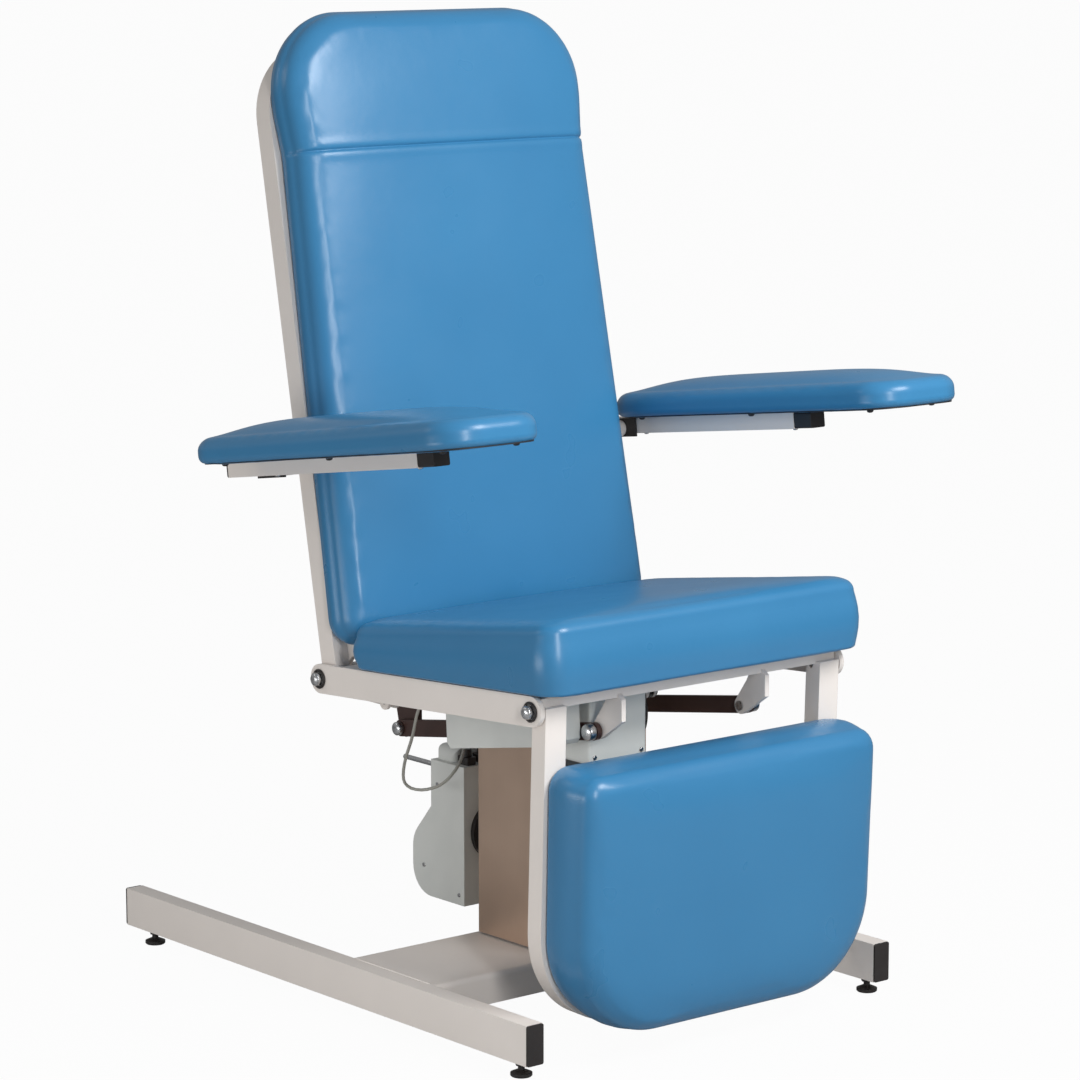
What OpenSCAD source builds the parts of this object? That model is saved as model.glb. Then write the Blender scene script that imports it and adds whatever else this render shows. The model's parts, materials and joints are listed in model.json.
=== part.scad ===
// Phlebotomy chair: a height adjustable couch chair on two floor runners.
// X runs to the sitter's left, Y to the rear and Z up, with Z zero on the floor.

/* [Base] */
// Length of each floor runner
runner_l = 1014; // [940:1:1100]
// Width of a runner tube
runner_w = 30; // [26:1:36]
// Height of a runner tube
runner_h = 60; // [50:1:70]
// Width over both runners
base_w = 716; // [690:1:760]
// Height of a runner's underside over the floor
runner_rise = 22; // [20:1:30]
// How far the runners' middle lies behind the origin
runner_mid_y = 23.5; // [10:0.5:40]
// Wall of the runner tubes
runner_wall = 2; // [1.5:0.1:3]
// Front to back depth of the cross beam
beam_d = 205; // [200:1:230]
// Height of the folded cross beam
beam_h = 46.5; // [40:0.5:52]
// Sheet of the cross beam
beam_t = 4; // [3:0.5:5]
// Outer bend radius of the cross beam
beam_bend_r = 8; // [6:0.5:12]
// Visible length of a runner's end cap
cap_t = 3; // [2:0.5:5]
// Length of the end cap's plug inside the tube
cap_plug_l = 16; // [10:1:24]
// Diameter of a levelling foot
foot_dia = 32; // [28:1:40]
// Height of a foot's moulded disc
foot_disc_h = 9; // [7:0.5:12]
// Diameter of a foot's screwed stem
foot_stem_dia = 10; // [8:1:12]
// Height of the lock nut above a foot
foot_nut_h = 6; // [5:0.5:8]
// From the front end of a runner to its foot
foot_front_inset = 29; // [25:1:60]
// From the rear end of a runner to its foot
foot_rear_inset = 57; // [30:1:80]

/* [Column] */
// How far the column's axis lies in front of the origin
column_y = 134; // [124:1:140]
// Width of the brushed outer sleeve
sleeve_w = 186.8; // [180:0.2:192]
// Depth of the brushed outer sleeve
sleeve_d = 181; // [176:1:188]
// Wall of the outer sleeve
sleeve_wall = 2.5; // [2:0.5:4]
// Corner radius of the outer sleeve
sleeve_corner_r = 4; // [3:0.5:8]
// Gap between the beam and the lowered sleeve
sleeve_gap = 3; // [2:0.5:6]
// Height of the sleeve
sleeve_h = 377; // [350:1:380]
// Gap all round between the inner post and the sleeve
post_gap = 9; // [7:0.5:12]
// Wall of the inner post
post_wall = 4; // [3:0.5:6]
// Height of the inner post
post_h = 350; // [330:1:360]
// Height of a glide pad
glide_h = 40; // [30:1:50]
// Diameter of the actuator's outer tube
actuator_dia = 50; // [44:1:54]
// Diameter of the actuator's piston
piston_dia = 34; // [28:1:38]
// Radial running clearance of the piston
piston_clear = 0.06; // [0.03:0.01:0.09]
// Length of the piston
piston_l = 330; // [310:1:340]

/* [Drive] */
// Width of the gearmotor housing
motor_w = 118; // [100:1:130]
// Depth of the gearmotor housing at its foot
motor_d = 130; // [120:1:140]
// Depth of the gearmotor housing at its shoulder
motor_top_d = 83; // [70:1:90]
// Height of the gearmotor housing
motor_h = 222; // [200:1:235]
// Height of the motor housing's foot over the beam
motor_gap = 20; // [16:1:40]
// Diameter of the drive neck that enters the column
neck_dia = 44; // [36:1:50]
// Width of the control box
box_w = 52; // [40:1:54]
// Length of the control box
box_l = 250; // [200:1:256]
// Height of the control box at its front end
box_front_h = 72; // [60:1:78]
// Height of the control box at its rear end
box_rear_h = 99; // [80:1:104]
// Diameter of the light cable between box and motor
cable_dia = 5; // [4:0.5:6]

/* [Seat frame] */
// How far the back pivot lies behind the origin
back_pivot_y = 84.3; // [80:0.1:90]
// Height of the back pivot
back_pivot_z = 488; // [480:1:496]
// Distance between the back pivot and the legrest pivot
pivot_pitch = 505.5; // [500:0.5:515]
// Forward rise of the seat frame in degrees
seat_tilt = 3.48; // [2.5:0.02:4.5]
// Height of the flat side plates
side_h = 45; // [42:1:50]
// Thickness of the flat side plates
side_t = 8; // [6:1:8]
// Width over both side plates
seat_frame_w = 594; // [588:1:600]
// Width over the tubes of the back and the legrest
loop_w = 574; // [566:1:576]
// Height of the seat frame's tubes
rail_h = 20; // [16:1:22]
// Width of the seat frame's tubes
rail_w = 30; // [25:1:32]
// Diameter of the pivot bolts
pivot_dia = 12; // [10:1:14]
// Radial running clearance of the pivot bolts
pivot_clear = 0.08; // [0.03:0.01:0.09]
// Thickness of the seat board
board_t = 12; // [9:1:15]

/* [Seat cushion] */
// Width of the seat cushion
seat_w = 612; // [600:1:616]
// Length of the seat cushion
seat_l = 476; // [462:1:480]
// Distance from the back pivot to the cushion's rear edge
seat_rear_gap = 91; // [89:1:104]
// Thickness of the seat cushion at its rear
seat_rear_t = 70; // [60:1:76]
// Thickness of the seat cushion at its front
seat_front_t = 108; // [96:1:116]
// Radius of the seat cushion's upper edges
seat_edge_r = 16; // [10:1:22]
// Radius of the seat cushion's upright corners
seat_corner_r = 34; // [25:1:50]
// Crown of the seat cushion
seat_crown = 7; // [3:1:10]

/* [Backrest] */
// Recline of the stored back from upright in degrees
back_tilt = 10.65; // [8:0.05:13]
// Depth of the back's tube
back_tube_d = 35; // [30:1:40]
// Width of the back's tube
back_tube_w = 26; // [22:1:30]
// How far the tube's rear face lies behind the back pivot
back_tube_rear = 3.4; // [2:0.1:6]
// Height of the back's tube loop over its pivot
back_tube_l = 966; // [930:1:990]
// Outer radius of the tube loop's upper corners
back_tube_r = 118; // [100:1:130]
// Length of the back cushion
back_l = 952; // [920:1:965]
// Distance of the back cushion's lower end from the pivot
back_low = 46; // [45:1:60]
// Width of the back cushion at its lower end
back_low_w = 594; // [580:1:596]
// Width of the back cushion at the headrest seam
back_top_w = 553; // [540:1:570]
// Thickness of the back cushion
back_t = 66; // [56:1:76]
// Crown of the back cushion
back_crown = 9; // [4:1:14]
// Radius of the back cushion's front edges
back_edge_r = 30; // [20:1:32]
// Radius of the back cushion's upper corners
back_corner_r = 124; // [110:1:130]
// Distance of the headrest seam from the cushion's top
seam_drop = 196; // [165:1:230]
// Depth of the headrest seam
seam_depth = 4; // [2:0.5:6]

/* [Legrest] */
// Width of the legrest's tube
leg_tube_w = 38.7; // [34:0.1:42]
// Depth of the legrest's tube
leg_tube_d = 30; // [26:1:32]
// How far the tube's rear face lies behind the legrest pivot
leg_tube_rear = 8.5; // [7:0.5:10]
// Rearward lean of the hanging legrest in degrees
leg_tilt = 1.9; // [0:0.1:3]
// Depth of the legrest's frame under its pivot
leg_frame_l = 478; // [455:1:482]
// Outer radius of the legrest frame's lower corners
leg_frame_r = 150; // [130:1:165]
// Height of the legrest's cross bar
leg_bar_h = 17; // [15:0.5:17.5]
// Width of the legrest cushion
leg_w = 558; // [546:1:566]
// Thickness of the legrest cushion
leg_t = 92; // [80:1:97]
// Distance of the legrest cushion's top from the pivot
leg_top = 84; // [78:1:100]
// Length of the legrest cushion
leg_l = 389; // [370:1:392]
// Radius of the legrest cushion's lower corners
leg_corner_r = 145; // [130:1:160]
// Radius of the legrest cushion's upper corners
leg_top_r = 45; // [30:1:60]
// Radius of the legrest cushion's front edges
leg_edge_r = 28; // [20:1:34]
// Crown of the legrest cushion
leg_crown = 6; // [3:1:9]

/* [Linkage] */
// Distance from the chair's middle to each link
link_x = 150; // [140:1:160]
// Height of a link bar
link_h = 26; // [24:1:28]
// Thickness of a link bar
link_t = 8; // [6:1:10]
// Diameter of the link pins
link_pin_dia = 10; // [8:1:12]
// Drop of the back's lever under the back pivot
lever_drop = 94; // [92:1:96]
// How far the lever's pin lies in front of the back pivot
lever_fore = 14; // [12:1:16]
// Drop of the legrest's lug under the legrest pivot
lug_drop = 54; // [53:1:55]
// How far the lug's pin lies behind the legrest pivot
lug_aft = 33; // [32:1:34]
// Length of the slot at a link's front end
link_slot = 7; // [7:0.5:8]
// Diameter of the back's cross tube
cross_tube_dia = 36; // [32:1:40]
// Distance from the back pivot to the gas spring's lever pin
gas_lever = 58; // [54:1:62]
// Distance from the chair's middle to the gas spring
gas_x = 112; // [110:1:114]
// Diameter of the gas spring's cylinder
gas_dia = 22; // [20:1:24]
// Diameter of the gas spring's rod
gas_rod_dia = 8; // [7:0.5:10]

/* [Armrests] */
// Height of the armrest pivots over the back pivot
arm_pivot_up = 322; // [310:1:335]
// How far an armrest pivot lies behind the back pivot
arm_pivot_aft = 48; // [40:1:56]
// Forward rise of the left armrest's rail in degrees
arm_tilt_left = 7.1; // [5:0.1:9]
// Forward rise of the right armrest's rail in degrees
arm_tilt_right = 8.3; // [6:0.1:10]
// Distance from the chair's middle to a rail's middle
rail_x = 366; // [364:1:369]
// Width of an armrest rail
arm_rail_w = 30; // [27:1:32]
// Height of an armrest rail
arm_rail_h = 26; // [24:1:28]
// Length of an armrest rail
arm_rail_l = 472; // [460:1:490]
// How far a rail runs behind its pivot
arm_rail_aft = 67; // [60:1:80]
// Sheet of an armrest rail
arm_rail_t = 2; // [1.5:0.1:2.5]
// Visible length of the black slider at a rail's front
slider_nose_l = 38; // [30:1:50]
// Length of the slider inside the rail
slider_l = 330; // [300:1:345]
// Width of an arm pad
pad_w = 185; // [175:1:190]
// Length of an arm pad
pad_l = 650; // [630:1:660]
// Distance from the chair's middle to a pad's inner edge
pad_inner_x = 317; // [315:1:322]
// Thickness of an arm pad's upholstery
pad_t = 34; // [28:1:42]
// Thickness of an arm pad's board
pad_board_t = 11; // [9:1:14]
// Crown of an arm pad
pad_crown = 14; // [8:1:18]

/* [Hidden] */

// One overrun for every cut, and one gap for parts that seat without touching
over = 1;
seat_gap = 0.3;
steel_grey = [0.79, 0.76, 0.73];
vinyl_blue = [0.29, 0.56, 0.76];
link_brown = [0.18, 0.13, 0.12];
plastic_black = [0.1, 0.1, 0.1];
bolt_silver = [0.78, 0.79, 0.8];
housing_grey = [0.75, 0.78, 0.75];
cable_grey = [0.72, 0.72, 0.7];
board_tan = [0.72, 0.58, 0.4];

// Base
beam_top = runner_rise + runner_h;
beam_low = beam_top - beam_h;
inner_w = base_w - 2 * runner_w;
runner_front_y = runner_mid_y - runner_l / 2;
runner_rear_y = runner_mid_y + runner_l / 2;
runner_x = (base_w - runner_w) / 2;
foot_ys = [runner_front_y + foot_front_inset, runner_rear_y - foot_rear_inset];
foot_stem_up = 14;
foot_stem_clear = 0.4;
foot_neck_share = 0.6;
plug_clear = 0.2;
cap_edge_r = 3;

// Column
post_flange_t = 8;
post_flange_gap = 3;
sleeve_low = beam_top + sleeve_gap;
sleeve_top = sleeve_low + sleeve_h;
sleeve_in_w = sleeve_w - 2 * sleeve_wall;
sleeve_in_d = sleeve_d - 2 * sleeve_wall;
post_w = sleeve_in_w - 2 * post_gap;
post_d = sleeve_in_d - 2 * post_gap;
post_low = beam_top + post_flange_t;
post_top = post_low + post_h;
glide_w = 34;
glide_spread = 48;
glide_inset = 10;
column_bolt_dia = 12;
column_bolt_spread = 46;
column_bolt_head_dia = 19;
column_bolt_head_h = 7;
column_nut_h = 10;
column_nut_clear = 0.3;
socket_dia = 56;
socket_h = 26;
actuator_low_gap = 42;
actuator_crown_t = 12;
head_t = 8;
head_over = 1;
cheek_t = 6;
cheek_x = 76;

// Seat frame, in a frame whose origin is the back pivot
leg_pivot_y = back_pivot_y - pivot_pitch * cos(seat_tilt);
leg_pivot_z = back_pivot_z + pivot_pitch * sin(seat_tilt);
plate_out_x = seat_frame_w / 2;
plate_in_x = plate_out_x - side_t;
rail_top = side_h / 2;
rail_low = rail_top - rail_h;
rail_front_gap = 28;
rail_front = -pivot_pitch + rail_front_gap;
rail_rear = -50;
rail_wall = 2;
rail_in_x = plate_in_x - rail_w;
cross_rail_w = 30;
cross_rail_t = 2.5;
column_rail_spread = 68;
column_rail_mid = -(back_pivot_y + column_y) / cos(seat_tilt);
board_gap = seat_gap;
board_inset = 14;
rail_plug_t = 3;
box_x = 160;
box_rear = -199;
box_edge = 8;
seat_low = rail_top + board_gap;

// Motor, hung behind the column on its drive neck
motor_front_y = 33;
motor_low = beam_top + motor_gap;
motor_top = motor_low + motor_h;
motor_bulge_r = 46;
motor_blend_share = 0.44;
motor_shoulder_share = 0.66;
motor_flange_dia = 92;
motor_flange_t = 8;
neck_z = motor_low + motor_h * 0.52;
neck_clear = 1.5;
slot_clear = 5;
neck_seat_gap = 0.4;
stud_dia = 8;
stud_l = 91;
stud_x = 40;
stud_drop = 14;
column_rear_y = -column_y + sleeve_d / 2;

// Cushion form
low_edge_share = 0.45;
side_draw = 3;
seam_half = 7;
cushion_steps = 6;
crown_shares = [0.82, 0.6, 0.36, 0.16];

// Back
back_tube_front = back_tube_rear - back_tube_d;
back_frame_low = 14;
loop_wall = 2;
leg_wall = 2;
hinge_plate_t = 8;
hinge_eye_r = 23;
cross_tube_wall = 4;
boss_r = 11;
hinge_plate_h = 90;
shoulder_fore = 75;
shoulder_low = 28;
shoulder_front_h = 46;
shoulder_rear_h = 57;

// Legrest
leg_tube_front = leg_tube_rear - leg_tube_d;
leg_frame_up = 6.4;
leg_bar_low = 2.5;
leg_bar_front = -11;
leg_boss_r = 8.4;
lug_eye_r = 13;
lug_fore = 21;
lug_rear = 20;

// Links
pin_r = link_pin_dia / 2;
pin_clear = 0.08;
link_gap = 1.5;
lever_t = 8;
lever_rim = 5;
lever_eye_r = 15;
lever_slot_side = 2;
lever_front = 46;
lever_x = link_x - link_t / 2 - link_gap - lever_t;
link_slot_clear = 3.3;
link_slot_r = pin_r + link_slot_clear;
link_dy = pivot_pitch * cos(seat_tilt) - lever_fore - lug_aft;
link_dz = pivot_pitch * sin(seat_tilt) + lever_drop - lug_drop;
link_len = sqrt(link_dy * link_dy + link_dz * link_dz);
link_rise = atan2(link_dz, link_dy);
washer_dia = 25;
washer_t = 2;
head_dia = 18;
head_h = 7;

// Gas spring, from its pin under the seat frame to the lever on the back's cross tube
gas_low = 45;
gas_lead = 25;
gas_eye_l = 8;
gas_eye_r = 10;
gas_slot_up = 4.5;
gas_slot_down = 5.5;
gas_slot_clear = 1;
gas_cylinder_l = 178;
gas_bore_floor = 52;
gas_rod_in = 116;
gas_front = -column_rail_spread + column_rail_mid;
gas_y = gas_front * cos(seat_tilt) - gas_low * sin(seat_tilt);
gas_z = -gas_front * sin(seat_tilt) - gas_low * cos(seat_tilt);
gas_dy = gas_lever * sin(gas_lead) - gas_y;
gas_dz = gas_lever * cos(gas_lead) + gas_z;
gas_len = sqrt(gas_dy * gas_dy + gas_dz * gas_dz);
gas_drop = atan2(gas_dz, gas_dy);
ear_t = 5;

// Release lever under the left rail
release_x = 270;
release_y = -61;
release_z = 473;
release_dia = 18;
release_l = 104;
release_fore = 10;
release_grip_l = 35;
release_pin_dia = 6;
release_ear_w = 22;

// Armrests
spigot_r = 13;
spigot_end_gap = 0.5;
cheek_plate_t = 4;
cheek_plate_half = 35;
arm_rail_low = -9;
arm_rail_top = arm_rail_low + arm_rail_h;
arm_slot_w = 14;
arm_head_dia = 13.4;
arm_head_h = 5;
arm_cheek_up = 16;
arm_cheek_down = 14;
slider_clear = 0.5;
slider_neck_w = 11;
arm_board_gap = 1;
pad_inset = 8;
pad_rear_y = 5;
pad_edge_r = 14;
pad_corner_r = 60;
pad_rear_t_share = 0.8;

// Bars, plates and rounded outlines that several pieces share
module slab(x0, x1, y0, y1, z0, z1) {
    translate([x0, y0, z0]) cube([x1 - x0, y1 - y0, z1 - z0]);
}

module round_slab(w, d, h, r) {
    linear_extrude(h) round_rect(w, d, r);
}

module round_rect(w, d, r) {
    square([w - 2 * r, d], center = true);
    square([w, d - 2 * r], center = true);
    for (sx = [-1, 1], sy = [-1, 1]) {
        translate([sx * (w / 2 - r), sy * (d / 2 - r)]) circle(r, $fn = 48);
    }
}

// An upright arch that is open at its foot, drawn from the foot line
module arch(w, h, r) {
    translate([-w / 2, 0]) square([w, h - r]);
    translate([-w / 2 + r, 0]) square([w - 2 * r, h]);
    for (sx = [-1, 1]) translate([sx * (w / 2 - r), h - r]) circle(r, $fn = 96);
}

module arch_band(w, h, r, inset, band) {
    difference() {
        arch(w - 2 * inset, h - inset, r - inset);
        translate([0, -over]) arch(w - 2 * (inset + band), h + over - inset - band, r - inset - band);
    }
}

// A hollow tube bent to the arch, its depth along Y and its feet closed
module arch_tube(w, h, r, tube_w, tube_d, wall) {
    difference() {
        translate([0, tube_d, 0]) rotate([90, 0, 0]) linear_extrude(tube_d) arch_band(w, h, r, 0, tube_w);
        translate([0, tube_d - wall, wall]) rotate([90, 0, 0]) linear_extrude(tube_d - 2 * wall)
            arch_band(w, h - wall, r, wall, tube_w - 2 * wall);
    }
}

module rod_x(x0, x1, r) {
    translate([x0, 0, 0]) rotate([0, 90, 0]) cylinder(r = r, h = x1 - x0, $fn = 48);
}

module ring_x(x0, x1, r_out, r_in) {
    difference() {
        rod_x(x0, x1, r_out);
        rod_x(x0 - over, x1 + over, r_in);
    }
}

// A hexagon head or nut whose axis runs along X
module hex_x(x0, x1, across) {
    translate([x0, 0, 0]) rotate([0, 90, 0]) cylinder(d = across, h = x1 - x0, $fn = 6);
}

// Frames of the tilted sub-assemblies
module at_back() {
    translate([0, back_pivot_y, back_pivot_z]) rotate([-back_tilt, 0, 0]) children();
}

module at_seat() {
    translate([0, back_pivot_y, back_pivot_z]) rotate([-seat_tilt, 0, 0]) children();
}

module at_leg() {
    translate([0, leg_pivot_y, leg_pivot_z]) rotate([leg_tilt, 0, 0]) children();
}

module at_leg_pivot() {
    translate([0, leg_pivot_y, leg_pivot_z]) children();
}

module at_back_pivot() {
    translate([0, back_pivot_y, back_pivot_z]) children();
}

// An armrest's own frame: its pivot as the origin, its rail along Y, and the rail's side outward along X
module at_arm(side) {
    translate([0, back_pivot_y + arm_pivot_aft, back_pivot_z + arm_pivot_up])
        rotate([side > 0 ? -arm_tilt_left : -arm_tilt_right, 0, 0])
            mirror([side > 0 ? 0 : 1, 0, 0]) children();
}

module at_link() {
    translate([0, back_pivot_y - lever_fore, back_pivot_z - lever_drop])
        rotate([-link_rise, 0, 0]) children();
}

// Base
module runner(side) {
    color(steel_grey) difference() {
        slab(side * runner_x - runner_w / 2, side * runner_x + runner_w / 2,
            runner_front_y, runner_rear_y, runner_rise, beam_top);
        slab(side * runner_x - runner_w / 2 + runner_wall, side * runner_x + runner_w / 2 - runner_wall,
            runner_front_y - over, runner_rear_y + over, runner_rise + runner_wall, beam_top - runner_wall);
        for (y = foot_ys) translate([side * runner_x, y, runner_rise - over])
            cylinder(d = foot_stem_dia + 2 * foot_stem_clear, h = runner_wall + 2 * over, $fn = 32);
    }
}

module runner_end_caps() {
    plug_w = runner_w - 2 * runner_wall - 2 * plug_clear;
    plug_h = runner_h - 2 * runner_wall - 2 * plug_clear;
    color(plastic_black) for (sx = [-1, 1], end = [[runner_front_y, -1], [runner_rear_y, 1]]) {
        translate([sx * runner_x, end[0], runner_rise + runner_h / 2]) rotate([90, 0, 90 - 90 * end[1]]) {
            translate([0, 0, -cap_t]) round_slab(runner_w, runner_h, cap_t, cap_edge_r);
            difference() {
                round_slab(plug_w, plug_h, cap_plug_l, cap_edge_r);
                translate([0, 0, cap_t]) 
                    round_slab(plug_w - 2 * cap_t, plug_h - 2 * cap_t, cap_plug_l, cap_edge_r);
            }
        }
    }
}

// A channel folded from sheet, open underneath, with round upper bends
module folded_section(inset) {
    r = beam_bend_r - inset;
    d = beam_d - 2 * inset;
    translate([-d / 2, beam_low]) square([d, beam_h - inset - r]);
    translate([-d / 2 + r, beam_low]) square([d - 2 * r, beam_h - inset]);
    for (sy = [-1, 1]) translate([sy * (d / 2 - r), beam_top - inset - r]) circle(r, $fn = 48);
}

module cross_beam() {
    color(steel_grey) difference() {
        translate([-inner_w / 2, -column_y, 0]) rotate([90, 0, 90]) linear_extrude(inner_w) difference() {
            folded_section(0);
            folded_section(beam_t);
            translate([-beam_d / 2 + beam_t, beam_low - over]) square([beam_d - 2 * beam_t, 2 * over]);
        }
        column_bolt_places()
            cylinder(d = column_bolt_dia + 2 * column_nut_clear, h = beam_h, $fn = 32, center = true);
    }
}

module levelling_feet() {
    neck = foot_stem_dia * 1.6;
    for (sx = [-1, 1], y = foot_ys) translate([sx * runner_x, y, 0]) color(plastic_black) {
        rotate_extrude($fn = 48) polygon([
            [0, 0], [foot_dia / 2 - cap_edge_r / 2, 0], [foot_dia / 2, cap_edge_r / 2],
            [foot_dia / 2, foot_disc_h * foot_neck_share], [neck / 2, foot_disc_h], [0, foot_disc_h]
        ]);
        translate([0, 0, foot_disc_h])
            cylinder(d = foot_stem_dia, h = runner_rise + foot_stem_up - foot_disc_h, $fn = 32);
    }
}

module foot_nuts() {
    color(plastic_black) for (sx = [-1, 1], y = foot_ys)
        translate([sx * runner_x, y, runner_rise - foot_nut_h]) difference() {
            cylinder(d = foot_stem_dia * 1.8, h = foot_nut_h, $fn = 6);
            translate([0, 0, -over])
                cylinder(r = foot_stem_dia / 2 + plug_clear, h = foot_nut_h + 2 * over, $fn = 32);
        }
}

// Column
module column_bolt_places() {
    for (sx = [-1, 1], sy = [-1, 1])
        translate([sx * column_bolt_spread, -column_y + sy * column_bolt_spread, beam_top]) children();
}

module inner_post() {
    flange_w = sleeve_in_w - 2 * post_flange_gap;
    flange_d = sleeve_in_d - 2 * post_flange_gap;
    color(bolt_silver) difference() {
        union() {
            translate([0, -column_y, beam_top])
                round_slab(flange_w, flange_d, post_flange_t, sleeve_corner_r);
            translate([0, -column_y, post_low]) round_slab(post_w, post_d, post_h, sleeve_corner_r);
        }
        translate([0, -column_y, post_low]) round_slab(post_w - 2 * post_wall, post_d - 2 * post_wall,
            post_h + over, sleeve_corner_r / 2);
        slab(-neck_dia / 2 - slot_clear, neck_dia / 2 + slot_clear, -column_y + post_d / 2 - 2 * post_wall,
            -column_y + post_d / 2 + over, neck_z - neck_dia / 2 - slot_clear, post_top + over);
        column_bolt_places()
            cylinder(d = column_bolt_dia + 2 * column_nut_clear, h = beam_h, $fn = 32, center = true);
    }
}

// Pads in the gap between post and sleeve, two on each side
module glide_pads(low, inward) {
    t = post_gap - seat_gap;
    x_in = post_w / 2 + inward;
    y_in = post_d / 2 + inward;
    translate([0, -column_y, 0]) for (s = [-1, 1], k = [-1, 1]) {
        slab(s > 0 ? x_in : -x_in - t, s > 0 ? x_in + t : -x_in,
            k * glide_spread - glide_w / 2, k * glide_spread + glide_w / 2, low, low + glide_h);
        slab(k * glide_spread - glide_w / 2, k * glide_spread + glide_w / 2,
            s > 0 ? y_in : -y_in - t, s > 0 ? y_in + t : -y_in, low, low + glide_h);
    }
}

module upper_glides() {
    color(plastic_black) glide_pads(post_top - glide_inset - glide_h, 0);
}

module lower_glides() {
    color(plastic_black) glide_pads(sleeve_low + glide_inset, seat_gap);
}

module column_bolts() {
    color(bolt_silver) column_bolt_places() {
        translate([0, 0, post_flange_t]) cylinder(d = column_bolt_head_dia, h = column_bolt_head_h, $fn = 6);
        translate([0, 0, -beam_t - column_nut_h]) cylinder(d = column_bolt_dia,
            h = beam_t + column_nut_h + post_flange_t, $fn = 32);
        translate([0, 0, -beam_t - column_nut_h]) difference() {
            cylinder(d = column_bolt_head_dia, h = column_nut_h, $fn = 6);
            translate([0, 0, -over]) cylinder(d = column_bolt_dia + 2 * column_nut_clear,
                h = column_nut_h + 2 * over, $fn = 32);
        }
    }
}

module piston() {
    color(bolt_silver) translate([0, -column_y, post_low]) cylinder(d = piston_dia, h = piston_l, $fn = 64);
}

module piston_socket() {
    color(bolt_silver) translate([0, -column_y, post_low]) difference() {
        cylinder(d = socket_dia, h = socket_h, $fn = 64);
        translate([0, 0, -over])
            cylinder(r = piston_dia / 2 + piston_clear, h = socket_h + 2 * over, $fn = 64);
    }
}

module column_sleeve() {
    color(bolt_silver) difference() {
        translate([0, -column_y, sleeve_low]) round_slab(sleeve_w, sleeve_d, sleeve_h, sleeve_corner_r);
        translate([0, -column_y, sleeve_low - over])
            round_slab(sleeve_in_w, sleeve_in_d, sleeve_h + 2 * over, sleeve_corner_r - sleeve_wall);
        translate([0, column_rear_y - 2 * sleeve_wall, neck_z]) rotate([-90, 0, 0])
            cylinder(r = neck_dia / 2 + neck_clear, h = 4 * sleeve_wall, $fn = 64);
    }
}

// The welded head that tilts the seat frame over the column
module column_head() {
    head_top = sleeve_top + head_t;
    front = rail_station_y(-column_rail_spread - cross_rail_w / 2);
    rear = rail_station_y(column_rail_spread + cross_rail_w / 2);
    color(steel_grey) {
        translate([0, -column_y, sleeve_top]) round_slab(sleeve_w + 2 * head_over, sleeve_d + 2 * head_over,
            head_t, sleeve_corner_r);
        for (sx = [-1, 1]) translate([sx * cheek_x - cheek_t / 2, 0, 0])
            rotate([90, 0, 90]) linear_extrude(cheek_t) polygon([
                [-column_y - sleeve_d / 2, head_top], [-column_y + sleeve_d / 2, head_top],
                [rear, frame_low_z(rear)], [front, frame_low_z(front)]
            ]);
    }
}

// Row Y of a station along the seat frame, and the height of the frame's underside there
function rail_station_y(s) =
    back_pivot_y + (column_rail_mid + s) * cos(seat_tilt) + rail_low * sin(seat_tilt);
function frame_low_z(y) = back_pivot_z + rail_low * cos(seat_tilt)
    + (back_pivot_y + rail_low * sin(seat_tilt) - y) * tan(seat_tilt);

module actuator_tube() {
    low = post_low + actuator_low_gap;
    color(bolt_silver) translate([0, -column_y, low]) difference() {
        cylinder(d = actuator_dia, h = sleeve_top - low, $fn = 64);
        translate([0, 0, -over]) cylinder(r = piston_dia / 2 + piston_clear,
            h = sleeve_top - low - actuator_crown_t + over, $fn = 64);
    }
}

// Drive
function arc(cx, cy, r, a0, a1, n) =
    [for (i = [0:n]) let (a = a0 + (a1 - a0) * i / n) [cx + r * cos(a), cy + r * sin(a)]];

module motor_profile() {
    polygon(concat(
        [[0, 0]],
        arc(motor_d - motor_bulge_r, motor_bulge_r, motor_bulge_r, -90, 0, 8),
        arc(motor_d - motor_bulge_r, motor_h * motor_blend_share - motor_bulge_r / 2,
            motor_bulge_r, 0, 40, 5),
        [[motor_top_d, motor_h * motor_shoulder_share], [motor_top_d, motor_h], [0, motor_h]]
    ));
}

module motor_housing() {
    color(housing_grey) translate([-motor_w / 2, motor_front_y, motor_low])
        rotate([90, 0, 90]) linear_extrude(motor_w) motor_profile();
}

module motor_flange() {
    color(plastic_black) translate([0, motor_front_y - motor_flange_t, neck_z]) rotate([-90, 0, 0])
        difference() {
            cylinder(d = motor_flange_dia, h = motor_flange_t, $fn = 64);
            translate([0, 0, -over])
                cylinder(r = neck_dia / 2 + plug_clear, h = motor_flange_t + 2 * over, $fn = 64);
        }
}

module drive_neck() {
    start = -column_y;
    color(bolt_silver) difference() {
        translate([0, start, neck_z]) rotate([-90, 0, 0])
            cylinder(d = neck_dia, h = motor_front_y - start, $fn = 64);
        translate([0, start, neck_z - neck_dia]) cylinder(r = actuator_dia / 2 + neck_seat_gap,
            h = 2 * neck_dia, $fn = 64);
        slab(-neck_dia, neck_dia, start - neck_dia, start, neck_z - neck_dia, neck_z + neck_dia);
    }
}

module motor_cap() {
    w = motor_w * 0.5;
    d = motor_top_d * 0.56;
    h = motor_h * 0.1;
    r = motor_top_d * 0.12;
    color(housing_grey) translate([-motor_w / 2 + w / 2 + r, motor_front_y + motor_top_d - d / 2, motor_top])
        intersection() {
            round_slab(w, d, h, r);
            translate([0, d, 0]) rotate([90, 0, 0]) linear_extrude(2 * d) arch(w, h, h * 0.8);
        }
}

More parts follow.
